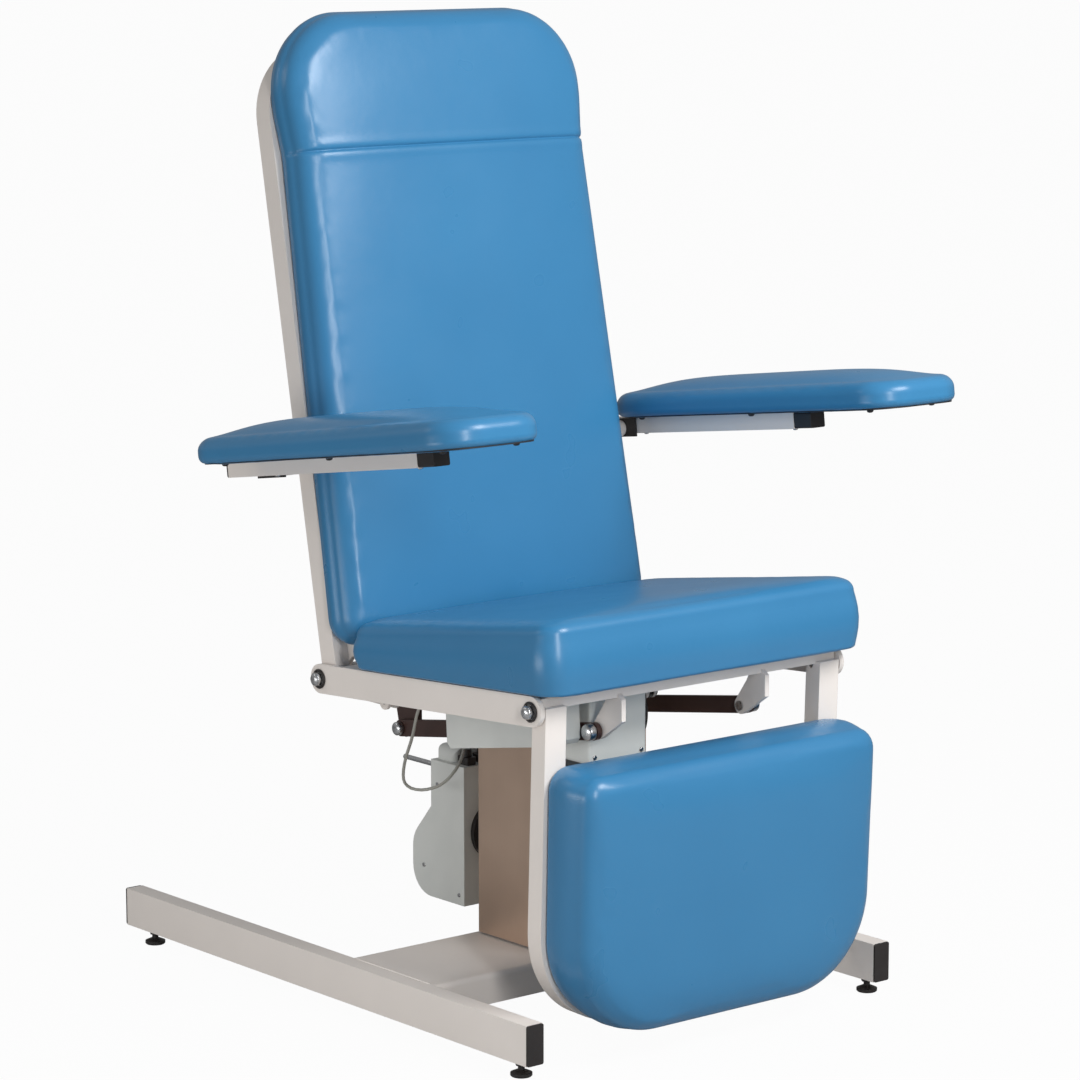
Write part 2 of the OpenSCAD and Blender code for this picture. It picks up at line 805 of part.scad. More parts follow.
module motor_plugs() {
    w = motor_w * 0.16;
    h = motor_h * 0.055;
    color(plastic_black) for (k = [0, 1])
        translate([-motor_w / 2 + w * (1.1 + 1.6 * k), motor_front_y + w, motor_top]) {
        round_slab(w, w * 1.4, h, w / 5);
        translate([0, 0, h]) cylinder(d = w * 0.8, h = h, $fn = 32);
    }
}

module motor_plugs() {
    w = motor_w * 0.16;
    h = motor_h * 0.055;
    color(plastic_black) for (k = [0, 1])
        translate([-motor_w / 2 + w * (1.1 + 1.6 * k), motor_front_y + w, motor_top]) {
            round_slab(w, w * 1.4, h, w / 5);
            translate([0, 0, h]) cylinder(d = w * 0.8, h = h, $fn = 32);
        }
}

module tie_rod() {
    color(bolt_silver) translate([-stud_x, motor_front_y + motor_top_d, motor_top - stud_drop])
        rotate([-90, 0, 0]) cylinder(d = stud_dia, h = stud_l, $fn = 32);
}

// A housing that hangs under the seat frame and is deeper at its rear
module control_box() {
    top = rail_low - seat_gap;
    color(housing_grey) at_seat() translate([-box_x - box_w, box_rear, 0]) rotate([90, 0, 90])
        linear_extrude(box_w) polygon([
            [0, top], [-box_l, top], [-box_l, top - box_front_h + box_edge],
            [-box_l + box_edge, top - box_front_h],
            [-box_edge, top - box_rear_h], [0, top - box_rear_h + box_edge]
        ]);
}

// The route of the light cable from its gland under the seat frame to the plug on the motor
cable_route = [
    [-206, -63, 496], [-206, -61, 482], [-203, -45, 460], [-196, -25, 434], [-186, -5, 408],
    [-175, 17, 384], [-164, 41, 360], [-154, 61, 338], [-147, 73, 318], [-140, 78, 304],
    [-131, 74, 295], [-121, 61, 293], [-111, 46, 297], [-101, 35, 304], [-90, 26, 317],
    [-76, 23, 335], [-63, 29, 351], [-52, 40, 361], [-43, 49, 361], [-38, 52, 350]
];

function unit(v) = v / norm(v);
function route_dir(p, i) = unit(p[min(i + 1, len(p) - 1)] - p[max(i - 1, 0)]);
function spline_point(p, i, t) = let (
    a = p[max(i - 1, 0)], b = p[i], c = p[i + 1], d = p[min(i + 2, len(p) - 1)]
) b + (c - a) * t / 2 + (2 * a - 5 * b + 4 * c - d) * t * t / 2 + (3 * b - a - 3 * c + d) * t * t * t / 2;
function smooth_route(p, n) = concat(
    [for (i = [0:len(p) - 2], k = [0:n - 1]) spline_point(p, i, k / n)], [p[len(p) - 1]]
);

// A closed solid through rings of equal point counts, with a fan over each end
module loft(rings) {
    n = len(rings[0]);
    m = len(rings);
    points = concat([for (ring = rings, p = ring) p], [ring_middle(rings[0]), ring_middle(rings[m - 1])]);
    sides = [for (i = [0:m - 2], k = [0:n - 1]) let (a = i * n + k, b = i * n + (k + 1) % n) each [
        [a, b, a + n], [b, b + n, a + n]
    ]];
    ends = [for (k = [0:n - 1]) each [
        [(k + 1) % n, k, m * n], [(m - 1) * n + k, (m - 1) * n + (k + 1) % n, m * n + 1]
    ]];
    polyhedron(points, concat(sides, ends));
}

function ring_middle(ring) =
    [for (i = [0:2]) let (values = [for (p = ring) p[i]]) (max(values) + min(values)) / 2];

// A tube of flat sides swept along a route
module sweep(route, r, sides) {
    loft([for (i = [0:len(route) - 1]) let (
        t = route_dir(route, i), u = unit(cross(t, [1, 0, 0])), v = cross(t, u)
    ) [for (k = [0:sides - 1]) route[i] + r * (u * cos(360 * k / sides) + v * sin(360 * k / sides))]]);
}

module motor_cable() {
    color(cable_grey) sweep(smooth_route(cable_route, 2), cable_dia / 2, 8);
}

module cable_glands() {
    first = cable_route[0];
    top = frame_low_z(first[1] + cable_dia) + rail_h - cross_rail_t - 2 * seat_gap;
    color(plastic_black) translate([first[0], first[1], first[2] + seat_gap])
        cylinder(r = cable_dia, h = top - first[2], $fn = 32);
}

// Seat frame
module side_plate(side) {
    color(steel_grey) at_seat() difference() {
        translate([side * (plate_out_x - side_t / 2) - side_t / 2, 0, 0])
            rotate([90, 0, 90]) linear_extrude(side_t) {
                for (y = [0, -pivot_pitch]) translate([y, 0]) circle(side_h / 2, $fn = 96);
                translate([-pivot_pitch, -side_h / 2]) square([pivot_pitch, side_h]);
            }
        for (y = [0, -pivot_pitch]) translate([side * plate_out_x, y, 0])
            rod_x(-2 * side_t, 2 * side_t, pivot_dia / 2 + seat_gap);
    }
}

// A folded rail, open underneath
module cross_rail(y) {
    difference() {
        slab(-rail_in_x, rail_in_x, y - cross_rail_w / 2, y + cross_rail_w / 2, rail_low, rail_top);
        slab(-rail_in_x + cross_rail_t, rail_in_x - cross_rail_t, y - cross_rail_w / 2 + cross_rail_t,
            y + cross_rail_w / 2 - cross_rail_t, rail_low - over, rail_top - cross_rail_t);
    }
}

// A hanging ear with a bore for a pin
module ear(x0, x1, y, top, drop, r) {
    difference() {
        translate([x0, y, 0]) rotate([90, 0, 90]) linear_extrude(x1 - x0) {
            translate([0, -drop]) circle(r, $fn = 48);
            translate([-r, -drop]) square([2 * r, drop + top]);
        }
        translate([0, y, -drop]) rod_x(x0 - over, x1 + over, pin_r + pin_clear);
    }
}

module seat_frame() {
    ys = [rail_rear - cross_rail_w / 2, column_rail_mid + column_rail_spread,
        column_rail_mid - column_rail_spread, rail_front + cross_rail_w / 2];
    ear_in = gas_eye_l / 2 + over;
    color(steel_grey) at_seat() {
        for (s = [-1, 1]) translate([s * (rail_in_x + rail_w / 2), 0, 0]) difference() {
            slab(-rail_w / 2, rail_w / 2, rail_front, rail_rear, rail_low, rail_top);
            slab(-rail_w / 2 + rail_wall, rail_w / 2 - rail_wall, rail_front - over, rail_rear + over,
                rail_low + rail_wall, rail_top - rail_wall);
        }
        difference() {
            for (y = ys) cross_rail(y);
            for (s = [0, 1]) mirror([s, 0, 0])
                slab(lever_x - lever_slot_side, lever_x + lever_t + lever_slot_side, ys[0] - cross_rail_w,
                    ys[0] + cross_rail_w, rail_low - over, rail_top - cross_rail_t - lever_slot_side);
        }
        for (x = [gas_x - ear_in - ear_t, gas_x + ear_in])
            ear(x, x + ear_t, gas_front, rail_top - cross_rail_t, gas_low, gas_eye_r);
    }
    color(steel_grey) difference() {
        translate([-release_x - release_dia / 2 - over - ear_t, 0, 0]) rotate([90, 0, 90])
            linear_extrude(ear_t) {
                polygon([
                    [release_y - release_ear_w / 2, release_z], [release_y + release_ear_w / 2, release_z],
                    [release_y + release_ear_w / 2, frame_low_z(release_y + release_ear_w / 2)],
                    [release_y - release_ear_w / 2, frame_low_z(release_y - release_ear_w / 2)]
                ]);
                translate([release_y, release_z]) circle(release_ear_w / 2, $fn = 48);
            }
        translate([-release_x, release_y, release_z])
            rod_x(-release_dia - ear_t, 0, release_pin_dia / 2 + pin_clear);
    }
}

module rail_plugs() {
    w = rail_w - 2 * rail_wall - 2 * plug_clear;
    h = rail_h - 2 * rail_wall - 2 * plug_clear;
    color(plastic_black) at_seat() for (s = [-1, 1], end = [[rail_front, -1], [rail_rear, 1]])
        translate([s * (rail_in_x + rail_w / 2), end[0], (rail_low + rail_top) / 2])
            rotate([90, 0, 90 - 90 * end[1]]) {
                translate([0, 0, -rail_plug_t]) round_slab(rail_w, rail_h, rail_plug_t, cap_edge_r / 2);
                round_slab(w, h, cap_plug_l, cap_edge_r / 2);
            }
}

module seat_pins() {
    reach = gas_eye_l / 2 + 2 * over + ear_t;
    color(bolt_silver) {
        at_seat() translate([gas_x, gas_front, -gas_low]) {
            rod_x(-reach, reach, pin_r);
            rod_x(-reach - ear_t / 2, -reach, gas_eye_r * 0.8);
            rod_x(reach, reach + ear_t / 2, gas_eye_r * 0.8);
        }
        translate([-release_x, release_y, release_z]) {
            rod_x(-release_dia / 2 - over - ear_t, release_dia / 2 + over, release_pin_dia / 2);
            rod_x(release_dia / 2 + over, release_dia / 2 + ear_t, release_pin_dia * 0.9);
        }
    }
}

module release_lever() {
    color(steel_grey) translate([-release_x, release_y, release_z]) difference() {
        union() {
            translate([0, -release_fore, 0]) rotate([-90, 0, 0])
                cylinder(d = release_dia, h = release_l + release_fore - release_grip_l, $fn = 48);
            rotate([-90, 0, 0]) cylinder(d = release_dia * 0.66, h = release_l - cap_t, $fn = 48);
        }
        rod_x(-release_dia, release_dia, release_pin_dia / 2 + pin_clear);
    }
}

module release_grip() {
    color(plastic_black) translate([-release_x, release_y + release_l - release_grip_l, release_z])
        rotate([-90, 0, 0]) difference() {
            cylinder(d = release_dia * 1.08, h = release_grip_l, $fn = 48);
            translate([0, 0, -over]) cylinder(r = release_dia * 0.33 + plug_clear,
                h = release_grip_l - cap_t + over + plug_clear, $fn = 48);
        }
}

// Bolts whose shank lies in the boss, with a washer and a head outside the side plate
module pivot_bolts(inner) {
    color(bolt_silver) for (s = [0, 1]) mirror([s, 0, 0]) {
        rod_x(inner, plate_out_x + washer_t, pivot_dia / 2);
        ring_x(plate_out_x + seat_gap / 3, plate_out_x + washer_t, washer_dia / 2,
            pivot_dia / 2 + plug_clear);
        hex_x(plate_out_x + washer_t, plate_out_x + washer_t + head_h, head_dia * 1.06);
    }
}

module back_pivot_bolts() {
    at_back_pivot() pivot_bolts(rail_in_x - cap_t);
}

module leg_pivot_bolts() {
    at_leg_pivot() pivot_bolts(loop_w / 2 - leg_tube_w + leg_wall);
}

// Cushions
function draw_in(s, r) = s >= r ? 0 : r - sqrt(max(0, r * r - (r - s) * (r - s)));

function half_section(hw, low, high, rl, ru, draw, crown) = concat(
    [for (a = [0:45:90]) [hw - rl + rl * sin(a), low + rl - rl * cos(a)]],
    [[hw - draw, (low + rl + high - ru) / 2]],
    [for (a = [0:22.5:90]) [hw - ru + ru * cos(a), high - ru + ru * sin(a)]],
    [for (q = crown_shares) [(hw - ru) * q, high + crown * (1 - q * q)]]
);

function mirrored(points) = [for (i = [len(points) - 1:-1:0]) [-points[i][0], points[i][1]]];

// One ring of a cushion at station s, running round X and Z
function cushion_ring(s, hw, low, high, r, draw, crown) = let (
    half = half_section(hw, low, high, r * low_edge_share, r, draw, crown),
    ring = concat(half, [[0, high + crown]], mirrored(half))
) [for (p = ring) [p[0], s, p[1]]];

// Distances from a cushion's end at which rings lie, for its edge radius and its plan corners
function end_steps(r, corner) = concat(
    [for (a = [0:22.5:90]) r * (1 - cos(a))],
    [for (a = [30:15:90]) if (corner * (1 - cos(a)) > 1.15 * r) corner * (1 - cos(a))]
);

// A cushion along Y, its base on Z zero, with rounded edges and plan corners, a crown and a seam
module cushion(l, w0, w1, t0, t1, r, corner0, corner1, crown, seam = -1, seam_in = 0) {
    low = end_steps(r, corner0);
    high = end_steps(r, corner1);
    from = low[len(low) - 1];
    to = l - high[len(high) - 1];
    plain = [for (k = [1:cushion_steps - 1]) from + (to - from) * k / cushion_steps];
    inner = seam < 0 ? plain : concat(
        [for (v = plain) if (v < seam - 2 * seam_half) v],
        [for (k = [-2:2]) seam + seam_half * k / 2],
        [for (v = plain) if (v > seam + 2 * seam_half) v]
    );
    stations = concat(low, inner, [for (i = [len(high) - 1:-1:0]) l - high[i]]);
    loft([for (s = stations) let (
        edge = draw_in(min(s, l - s), r),
        hw = (w0 + (w1 - w0) * s / l) / 2 - draw_in(s, corner0) - draw_in(l - s, corner1),
        groove = seam < 0 ? 0 : seam_in * max(0, 1 - abs(s - seam) / seam_half),
        top = t0 + (t1 - t0) * s / l - edge - groove,
        puff = crown * (1 - pow(abs(2 * s / l - 1), 3))
    ) cushion_ring(s, hw, edge * low_edge_share, top, min(r, top * 0.48), side_draw, puff)]);
}

// The plywood board in a cushion's base, and the pocket that it lies in
module board_shape(w, l, t, corner) {
    translate([0, l / 2, 0]) round_slab(w - 2 * board_inset, l - 2 * board_inset, t, corner);
}

module board_pocket(w, l, t, corner) {
    translate([0, 0, -over]) board_shape(w + 2 * seat_gap, l, t + over + seat_gap, corner);
}

module seat_board() {
    color(board_tan) at_seat() translate([0, -seat_rear_gap, seat_low]) rotate([0, 0, 180])
        board_shape(seat_w, seat_l, board_t, seat_corner_r - board_inset);
}

module seat_cushion() {
    color(vinyl_blue) at_seat() translate([0, -seat_rear_gap, seat_low]) rotate([0, 0, 180]) difference() {
        cushion(seat_l, seat_w, seat_w, seat_rear_t, seat_front_t, seat_edge_r, seat_corner_r, seat_corner_r,
            seat_crown);
        board_pocket(seat_w, seat_l + 2 * seat_gap, board_t, seat_corner_r - board_inset);
    }
}

// Backrest
module hinge_plate() {
    rotate([90, 0, 90]) linear_extrude(hinge_plate_t) {
        circle(hinge_eye_r, $fn = 64);
        polygon([
            [back_tube_rear, 0], [back_tube_rear, hinge_plate_h], [back_tube_front, hinge_plate_h],
            [back_tube_front, shoulder_rear_h], [-shoulder_fore, shoulder_front_h],
            [-shoulder_fore, shoulder_low],
            [-shoulder_fore * 0.53, shoulder_low], [-hinge_eye_r * 0.87, hinge_eye_r / 2],
            [-hinge_eye_r / 2, 0]
        ]);
    }
}

module back_frame() {
    plate_x = loop_w / 2 - back_tube_w - hinge_plate_t;
    color(steel_grey) {
        at_back() difference() {
            union() {
                translate([0, back_tube_front, back_frame_low])
                    arch_tube(loop_w, back_tube_l - back_frame_low,
                    back_tube_r, back_tube_w, back_tube_d, loop_wall);
                for (s = [0, 1]) mirror([s, 0, 0]) {
                    translate([plate_x, 0, 0]) hinge_plate();
                    rod_x(plate_x, loop_w / 2, boss_r);
                }
                ring_x(-plate_x, plate_x, cross_tube_dia / 2, cross_tube_dia / 2 - cross_tube_wall);
            }
            for (s = [0, 1]) mirror([s, 0, 0])
                rod_x(plate_x - over, loop_w / 2 + over, pivot_dia / 2 + pivot_clear);
        }
    }
}

// Plates on the cross tube that carry the link pins, and the gas spring's lever
module back_levers() {
    hole = cross_tube_dia / 2 + seat_gap;
    rim = hole + lever_rim;
    color(link_brown) at_back_pivot() {
        for (s = [0, 1]) mirror([s, 0, 0]) translate([lever_x, 0, 0]) rotate([90, 0, 90])
            linear_extrude(lever_t) difference() {
                union() {
                    circle(rim, $fn = 64);
                    translate([-lever_fore, -lever_drop]) circle(lever_eye_r, $fn = 64);
                    polygon([
                        [-rim, 0], [rim, 0], [-lever_fore + lever_eye_r, -lever_drop],
                        [-lever_fore, -lever_drop - lever_eye_r], [-lever_front, -lever_drop * 0.97],
                        [-lever_front, -lever_drop * 0.6]
                    ]);
                }
                circle(hole, $fn = 64);
                translate([-lever_fore, -lever_drop]) circle(pin_r + pin_clear, $fn = 48);
            }
        translate([gas_x + gas_eye_l / 2 + 2 * over, 0, 0]) rotate([90, 0, 90])
            linear_extrude(lever_t) difference() {
                rotate(gas_lead) union() {
                    circle(rim, $fn = 64);
                    translate([0, -gas_lever]) circle(gas_eye_r, $fn = 48);
                    polygon([[-rim, 0], [rim, 0], [gas_eye_r, -gas_lever], [-gas_eye_r, -gas_lever]]);
                }
                circle(hole, $fn = 64);
                rotate(gas_lead) translate([0, -gas_lever]) circle(pin_r + pin_clear, $fn = 48);
            }
    }
}

module back_link_pins() {
    color(bolt_silver) at_back_pivot() {
        for (s = [0, 1]) mirror([s, 0, 0]) translate([0, -lever_fore, -lever_drop]) link_pin();
        rotate([gas_lead, 0, 0]) translate([gas_x, 0, -gas_lever]) {
            rod_x(-gas_eye_l, gas_eye_l / 2 + 3 * over + lever_t, pin_r);
            rod_x(-gas_eye_l - 2 * over, -gas_eye_l, gas_eye_r * 0.8);
        }
    }
}

// A pin through a lever plate and a link, with a collar beyond the link
module link_pin() {
    outer = link_x + link_t / 2 + link_gap;
    rod_x(lever_x - over, outer, pin_r);
    rod_x(outer, outer + washer_t, pin_r * 1.7);
    rod_x(lever_x - 3 * over, lever_x - over, pin_r * 1.5);
}

module back_board() {
    color(board_tan) at_back() translate([0, back_tube_front - seat_gap, back_low]) rotate([90, 0, 0])
        board_shape(back_top_w, back_l, board_t, back_corner_r - board_inset);
}

module back_cushion() {
    top_w = back_low_w + (back_top_w - back_low_w) * back_l / (back_l - seam_drop);
    color(vinyl_blue) at_back() translate([0, back_tube_front - seat_gap, back_low]) rotate([90, 0, 0])
        difference() {
            cushion(back_l, back_low_w, top_w, back_t, back_t, back_edge_r, seat_corner_r, back_corner_r,
                back_crown, back_l - seam_drop, seam_depth);
            board_pocket(back_top_w, back_l + 2 * seat_gap, board_t, back_corner_r - board_inset);
        }
}

// Legrest
module leg_frame() {
    boss_in = loop_w / 2 - leg_tube_w + leg_wall;
    color(steel_grey) {
        at_leg() difference() {
            union() {
                translate([0, leg_tube_front, leg_frame_up]) mirror([0, 0, 1])
                    arch_tube(loop_w, leg_frame_l + leg_frame_up, leg_frame_r,
                        leg_tube_w, leg_tube_d, leg_wall);
                difference() {
                    slab(-loop_w / 2, loop_w / 2, leg_bar_front, leg_tube_rear,
                        leg_bar_low, leg_bar_low + leg_bar_h);
                    slab(-boss_in, boss_in, leg_bar_front + leg_wall, leg_tube_rear - leg_wall,
                        leg_bar_low + leg_wall, leg_bar_low + leg_bar_h - leg_wall);
                }
                for (s = [0, 1]) mirror([s, 0, 0]) rod_x(boss_in - over, loop_w / 2, leg_boss_r);
            }
            for (s = [0, 1]) mirror([s, 0, 0])
                rod_x(boss_in - 3 * over, loop_w / 2 + over, pivot_dia / 2 + pivot_clear);
        }
        at_leg_pivot() for (s = [0, 1]) mirror([s, 0, 0]) translate([lever_x, 0, 0]) rotate([90, 0, 90])
            linear_extrude(lever_t) difference() {
                union() {
                    translate([lug_aft, -lug_drop]) circle(lug_eye_r, $fn = 64);
                    polygon([
                        [leg_bar_front, leg_bar_low + leg_bar_h / 3],
                        [leg_tube_rear, leg_bar_low + leg_bar_h / 3],
                        [lug_rear, -lug_drop / 4], [lug_aft + lug_eye_r * 0.8, -lug_drop + lug_eye_r * 0.6],
                        [lug_aft - lug_eye_r * 0.6, -lug_drop - lug_eye_r * 0.8],
                        [-lug_fore, -lug_drop * 0.6],
                        [-lug_fore, 0]
                    ]);
                }
                translate([lug_aft, -lug_drop]) circle(pin_r + pin_clear, $fn = 48);
            }
    }
}

module leg_link_pins() {
    color(bolt_silver) at_leg_pivot() for (s = [0, 1]) mirror([s, 0, 0])
        translate([0, lug_aft, -lug_drop]) link_pin();
}

module leg_board() {
    color(board_tan) at_leg() translate([0, leg_tube_front - seat_gap, -leg_top - leg_l]) rotate([90, 0, 0])
        board_shape(leg_w, leg_l, board_t, leg_corner_r - board_inset);
}

module leg_cushion() {
    color(vinyl_blue) at_leg() translate([0, leg_tube_front - seat_gap, -leg_top - leg_l]) rotate([90, 0, 0])
        difference() {
            cushion(leg_l, leg_w, leg_w, leg_t, leg_t, leg_edge_r, leg_corner_r, leg_top_r, leg_crown);
            board_pocket(leg_w, leg_l + 2 * seat_gap, board_t, leg_corner_r - board_inset);
        }
}

// Links
module link(side) {
    color(link_brown) at_link() translate([side * link_x - link_t / 2, 0, 0]) rotate([90, 0, 90])
        linear_extrude(link_t) difference() {
            union() {
                for (y = [0, -link_len]) translate([y, 0]) circle(link_h / 2, $fn = 64);
                translate([-link_len, -link_h / 2]) square([link_len, link_h]);
            }
            circle(pin_r + pin_clear, $fn = 64);
            for (y = [-link_len, -link_len + link_slot]) translate([y, 0]) circle(link_slot_r, $fn = 48);
            translate([-link_len, -link_slot_r]) square([link_slot, 2 * link_slot_r]);
        }
}

module at_gas() {
    translate([gas_x, back_pivot_y + gas_y, back_pivot_z + gas_z]) rotate([-gas_drop, 0, 0]) children();
}

module gas_cylinder() {
    color(plastic_black) at_gas() difference() {
        union() {
            translate([0, 1.4 * gas_eye_r, 0]) rotate([-90, 0, 0])
                cylinder(d = gas_dia, h = gas_cylinder_l, $fn = 64);
            rod_x(-gas_eye_l / 2, gas_eye_l / 2, gas_eye_r);
            slab(-gas_eye_l / 2, gas_eye_l / 2, 0, 1.5 * gas_eye_r, -gas_eye_r * 0.7, gas_eye_r * 0.7);
        }
        rod_x(-gas_eye_l, gas_eye_l, pin_r + pin_clear);
        translate([0, gas_bore_floor, 0]) rotate([-90, 0, 0]) cylinder(r = gas_rod_dia / 2 + piston_clear,
            h = gas_cylinder_l, $fn = 64);
    }
}

module gas_rod() {
    r = pin_r + gas_slot_clear;
    color(bolt_silver) at_gas() difference() {
        union() {
            translate([0, gas_rod_in, 0]) rotate([-90, 0, 0])
                cylinder(d = gas_rod_dia, h = gas_len - gas_rod_in - r - over, $fn = 64);
            translate([-gas_eye_l / 2, gas_len, 0]) rotate([90, 0, 90]) linear_extrude(gas_eye_l) {
                for (z = [-gas_slot_down, gas_slot_up]) translate([0, z]) circle(gas_eye_r, $fn = 64);
                translate([-gas_eye_r, -gas_slot_down]) square([2 * gas_eye_r, gas_slot_down + gas_slot_up]);
            }
        }
        translate([-gas_eye_l, gas_len, 0]) rotate([90, 0, 90]) linear_extrude(2 * gas_eye_l) {
            for (z = [-gas_slot_down, gas_slot_up]) translate([0, z]) circle(r, $fn = 64);
            translate([-r, -gas_slot_down]) square([2 * r, gas_slot_down + gas_slot_up]);
        }
    }
}

// Armrests
module arm_spigots() {
    end_x = rail_x - arm_rail_w / 2 - cheek_plate_t - spigot_end_gap;
    color(steel_grey) translate([0, back_pivot_y + arm_pivot_aft, back_pivot_z + arm_pivot_up])
        for (s = [0, 1]) mirror([s, 0, 0]) ring_x(loop_w / 2, end_x, spigot_r, pivot_dia / 2 + plug_clear);
}

module arm_pivot_bolts() {
    inner_x = rail_x - arm_rail_w / 2 + arm_rail_t;
    color(bolt_silver) translate([0, back_pivot_y + arm_pivot_aft, back_pivot_z + arm_pivot_up])
        for (s = [0, 1]) mirror([s, 0, 0]) {
            rod_x(loop_w / 2 + over, inner_x + seat_gap, pivot_dia / 2);
            hex_x(inner_x + seat_gap, inner_x + arm_head_h, arm_head_dia);
        }
}

// A channel with a slot along its top and the bore of its pivot
module arm_rail(side) {
    in_x = rail_x - arm_rail_w / 2;
    out_x = rail_x + arm_rail_w / 2;
    front = arm_rail_aft - arm_rail_l;
    color(steel_grey) at_arm(side) difference() {
        slab(in_x, out_x, front, arm_rail_aft, arm_rail_low, arm_rail_top);
        slab(in_x + arm_rail_t, out_x - arm_rail_t, front - over, arm_rail_aft + over,
            arm_rail_low + arm_rail_t, arm_rail_top - arm_rail_t);
        slab(rail_x - arm_slot_w / 2, rail_x + arm_slot_w / 2, front - over, arm_rail_aft + over,
            arm_rail_top - 2 * arm_rail_t, arm_rail_top + over);
        rod_x(in_x - over, in_x + 2 * arm_rail_t, pivot_dia / 2 + pivot_clear);
    }
}

// A bar that runs in the rail, its black nose in front of it and the neck under the pad's board
module arm_slider(side) {
    w = arm_rail_w - 2 * arm_rail_t - 2 * slider_clear;
    h = arm_rail_h - 2 * arm_rail_t - 2 * slider_clear;
    front = arm_rail_aft - arm_rail_l;
    low = arm_rail_low + arm_rail_t + slider_clear;
    color(plastic_black) at_arm(side) translate([rail_x, 0, 0]) {
        slab(-w / 2, w / 2, front - seat_gap, front + slider_l, low, low + h);
        slab(-slider_neck_w / 2, slider_neck_w / 2, front - seat_gap, front + slider_l,
            low, arm_rail_top + arm_board_gap);
        translate([0, front - seat_gap, (arm_rail_low + arm_rail_top) / 2]) rotate([90, 0, 0])
            round_slab(arm_rail_w - 2 * slider_clear, arm_rail_h - 2 * slider_clear,
                slider_nose_l, cap_edge_r);
    }
}

module arm_board(side) {
    color(link_brown) at_arm(side)
        translate([pad_inner_x + pad_w / 2, pad_rear_y - pad_l / 2, arm_rail_top + arm_board_gap])
            round_slab(pad_w - 2 * pad_inset, pad_l - 2 * pad_inset, pad_board_t, pad_corner_r - pad_inset);
}

module arm_pad(side) {
    color(vinyl_blue) at_arm(side)
        translate([pad_inner_x + pad_w / 2, pad_rear_y,
            arm_rail_top + arm_board_gap + pad_board_t + seat_gap])
            rotate([0, 0, 180]) cushion(pad_l, pad_w, pad_w, pad_t * pad_rear_t_share, pad_t, pad_edge_r,
                pad_corner_r, pad_corner_r, pad_crown);
}

module arm_fittings(side) {
    w = arm_rail_w - 2 * arm_rail_t - 2 * plug_clear;
    h = arm_rail_h - 2 * arm_rail_t - 2 * plug_clear;
    in_x = rail_x - arm_rail_w / 2;
    color(plastic_black) at_arm(side) {
        translate([rail_x, arm_rail_aft, (arm_rail_low + arm_rail_top) / 2]) rotate([90, 0, 0]) {
            translate([0, 0, -cap_t]) round_slab(arm_rail_w, arm_rail_h, cap_t, cap_edge_r);
            round_slab(w, h, cap_plug_l, cap_edge_r / 2);
        }
        difference() {
            slab(in_x - cheek_plate_t, in_x - over, -cheek_plate_half, cheek_plate_half,
                -arm_cheek_down, arm_cheek_up);
            rod_x(in_x - cheek_plate_t - over, in_x, pivot_dia / 2 + pivot_clear);
        }
    }
}

runner(1);  // runner_left
runner(-1);  // runner_right
runner_end_caps();
cross_beam();
levelling_feet();
foot_nuts();
inner_post();
upper_glides();
column_bolts();
piston();
piston_socket();
column_sleeve();
lower_glides();
column_head();
actuator_tube();
motor_housing();
motor_flange();
drive_neck();
motor_cap();
motor_plugs();
tie_rod();
control_box();
motor_cable();
cable_glands();
side_plate(1);  // side_plate_left
side_plate(-1);  // side_plate_right
seat_frame();
rail_plugs();
seat_board();
seat_cushion();
back_pivot_bolts();
leg_pivot_bolts();
release_lever();
release_grip();
back_frame();
back_levers();
back_board();
back_cushion();
back_link_pins();
leg_frame();
leg_board();
leg_cushion();
leg_link_pins();
link(1);  // link_left
link(-1);  // link_right
gas_cylinder();
gas_rod();
seat_pins();
arm_spigots();
arm_pivot_bolts();
arm_rail(1);  // arm_rail_left
arm_rail(-1);  // arm_rail_right
arm_slider(1);  // arm_slider_left
arm_slider(-1);  // arm_slider_right
arm_board(1);  // arm_board_left
arm_board(-1);  // arm_board_right
arm_pad(1);  // arm_pad_left
arm_pad(-1);  // arm_pad_right
arm_fittings(1);  // arm_fittings_left
arm_fittings(-1);  // arm_fittings_right
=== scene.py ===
import json
import math

import bmesh
import bpy
import numpy as np
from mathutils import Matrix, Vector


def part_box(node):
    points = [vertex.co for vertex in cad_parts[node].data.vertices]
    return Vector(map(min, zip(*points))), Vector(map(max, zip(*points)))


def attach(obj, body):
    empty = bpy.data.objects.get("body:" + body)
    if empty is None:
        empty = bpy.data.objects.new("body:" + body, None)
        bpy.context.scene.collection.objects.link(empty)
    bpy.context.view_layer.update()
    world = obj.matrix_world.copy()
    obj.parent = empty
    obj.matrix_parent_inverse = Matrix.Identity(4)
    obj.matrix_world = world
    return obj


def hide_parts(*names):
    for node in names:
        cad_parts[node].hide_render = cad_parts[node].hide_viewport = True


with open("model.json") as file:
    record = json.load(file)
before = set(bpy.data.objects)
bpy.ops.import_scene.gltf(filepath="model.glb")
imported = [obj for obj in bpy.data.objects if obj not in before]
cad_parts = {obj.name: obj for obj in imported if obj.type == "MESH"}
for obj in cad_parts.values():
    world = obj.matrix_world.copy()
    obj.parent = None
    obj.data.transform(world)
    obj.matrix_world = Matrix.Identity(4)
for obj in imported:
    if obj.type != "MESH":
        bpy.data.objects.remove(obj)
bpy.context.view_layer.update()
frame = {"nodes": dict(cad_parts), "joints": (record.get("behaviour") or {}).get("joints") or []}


# ---- Viewpoint ----
# A long lens at chest height, off the chair's right front corner, as the photograph was taken.
camera_data = bpy.data.cameras.new("viewpoint")
camera_data.lens = 131.95
camera_data.sensor_width = 36.0
camera_data.shift_x = -0.00973
camera_data.shift_y = 0.00079
camera_data.clip_start = 0.5
camera_data.clip_end = 200.0
camera = bpy.data.objects.new("viewpoint", camera_data)
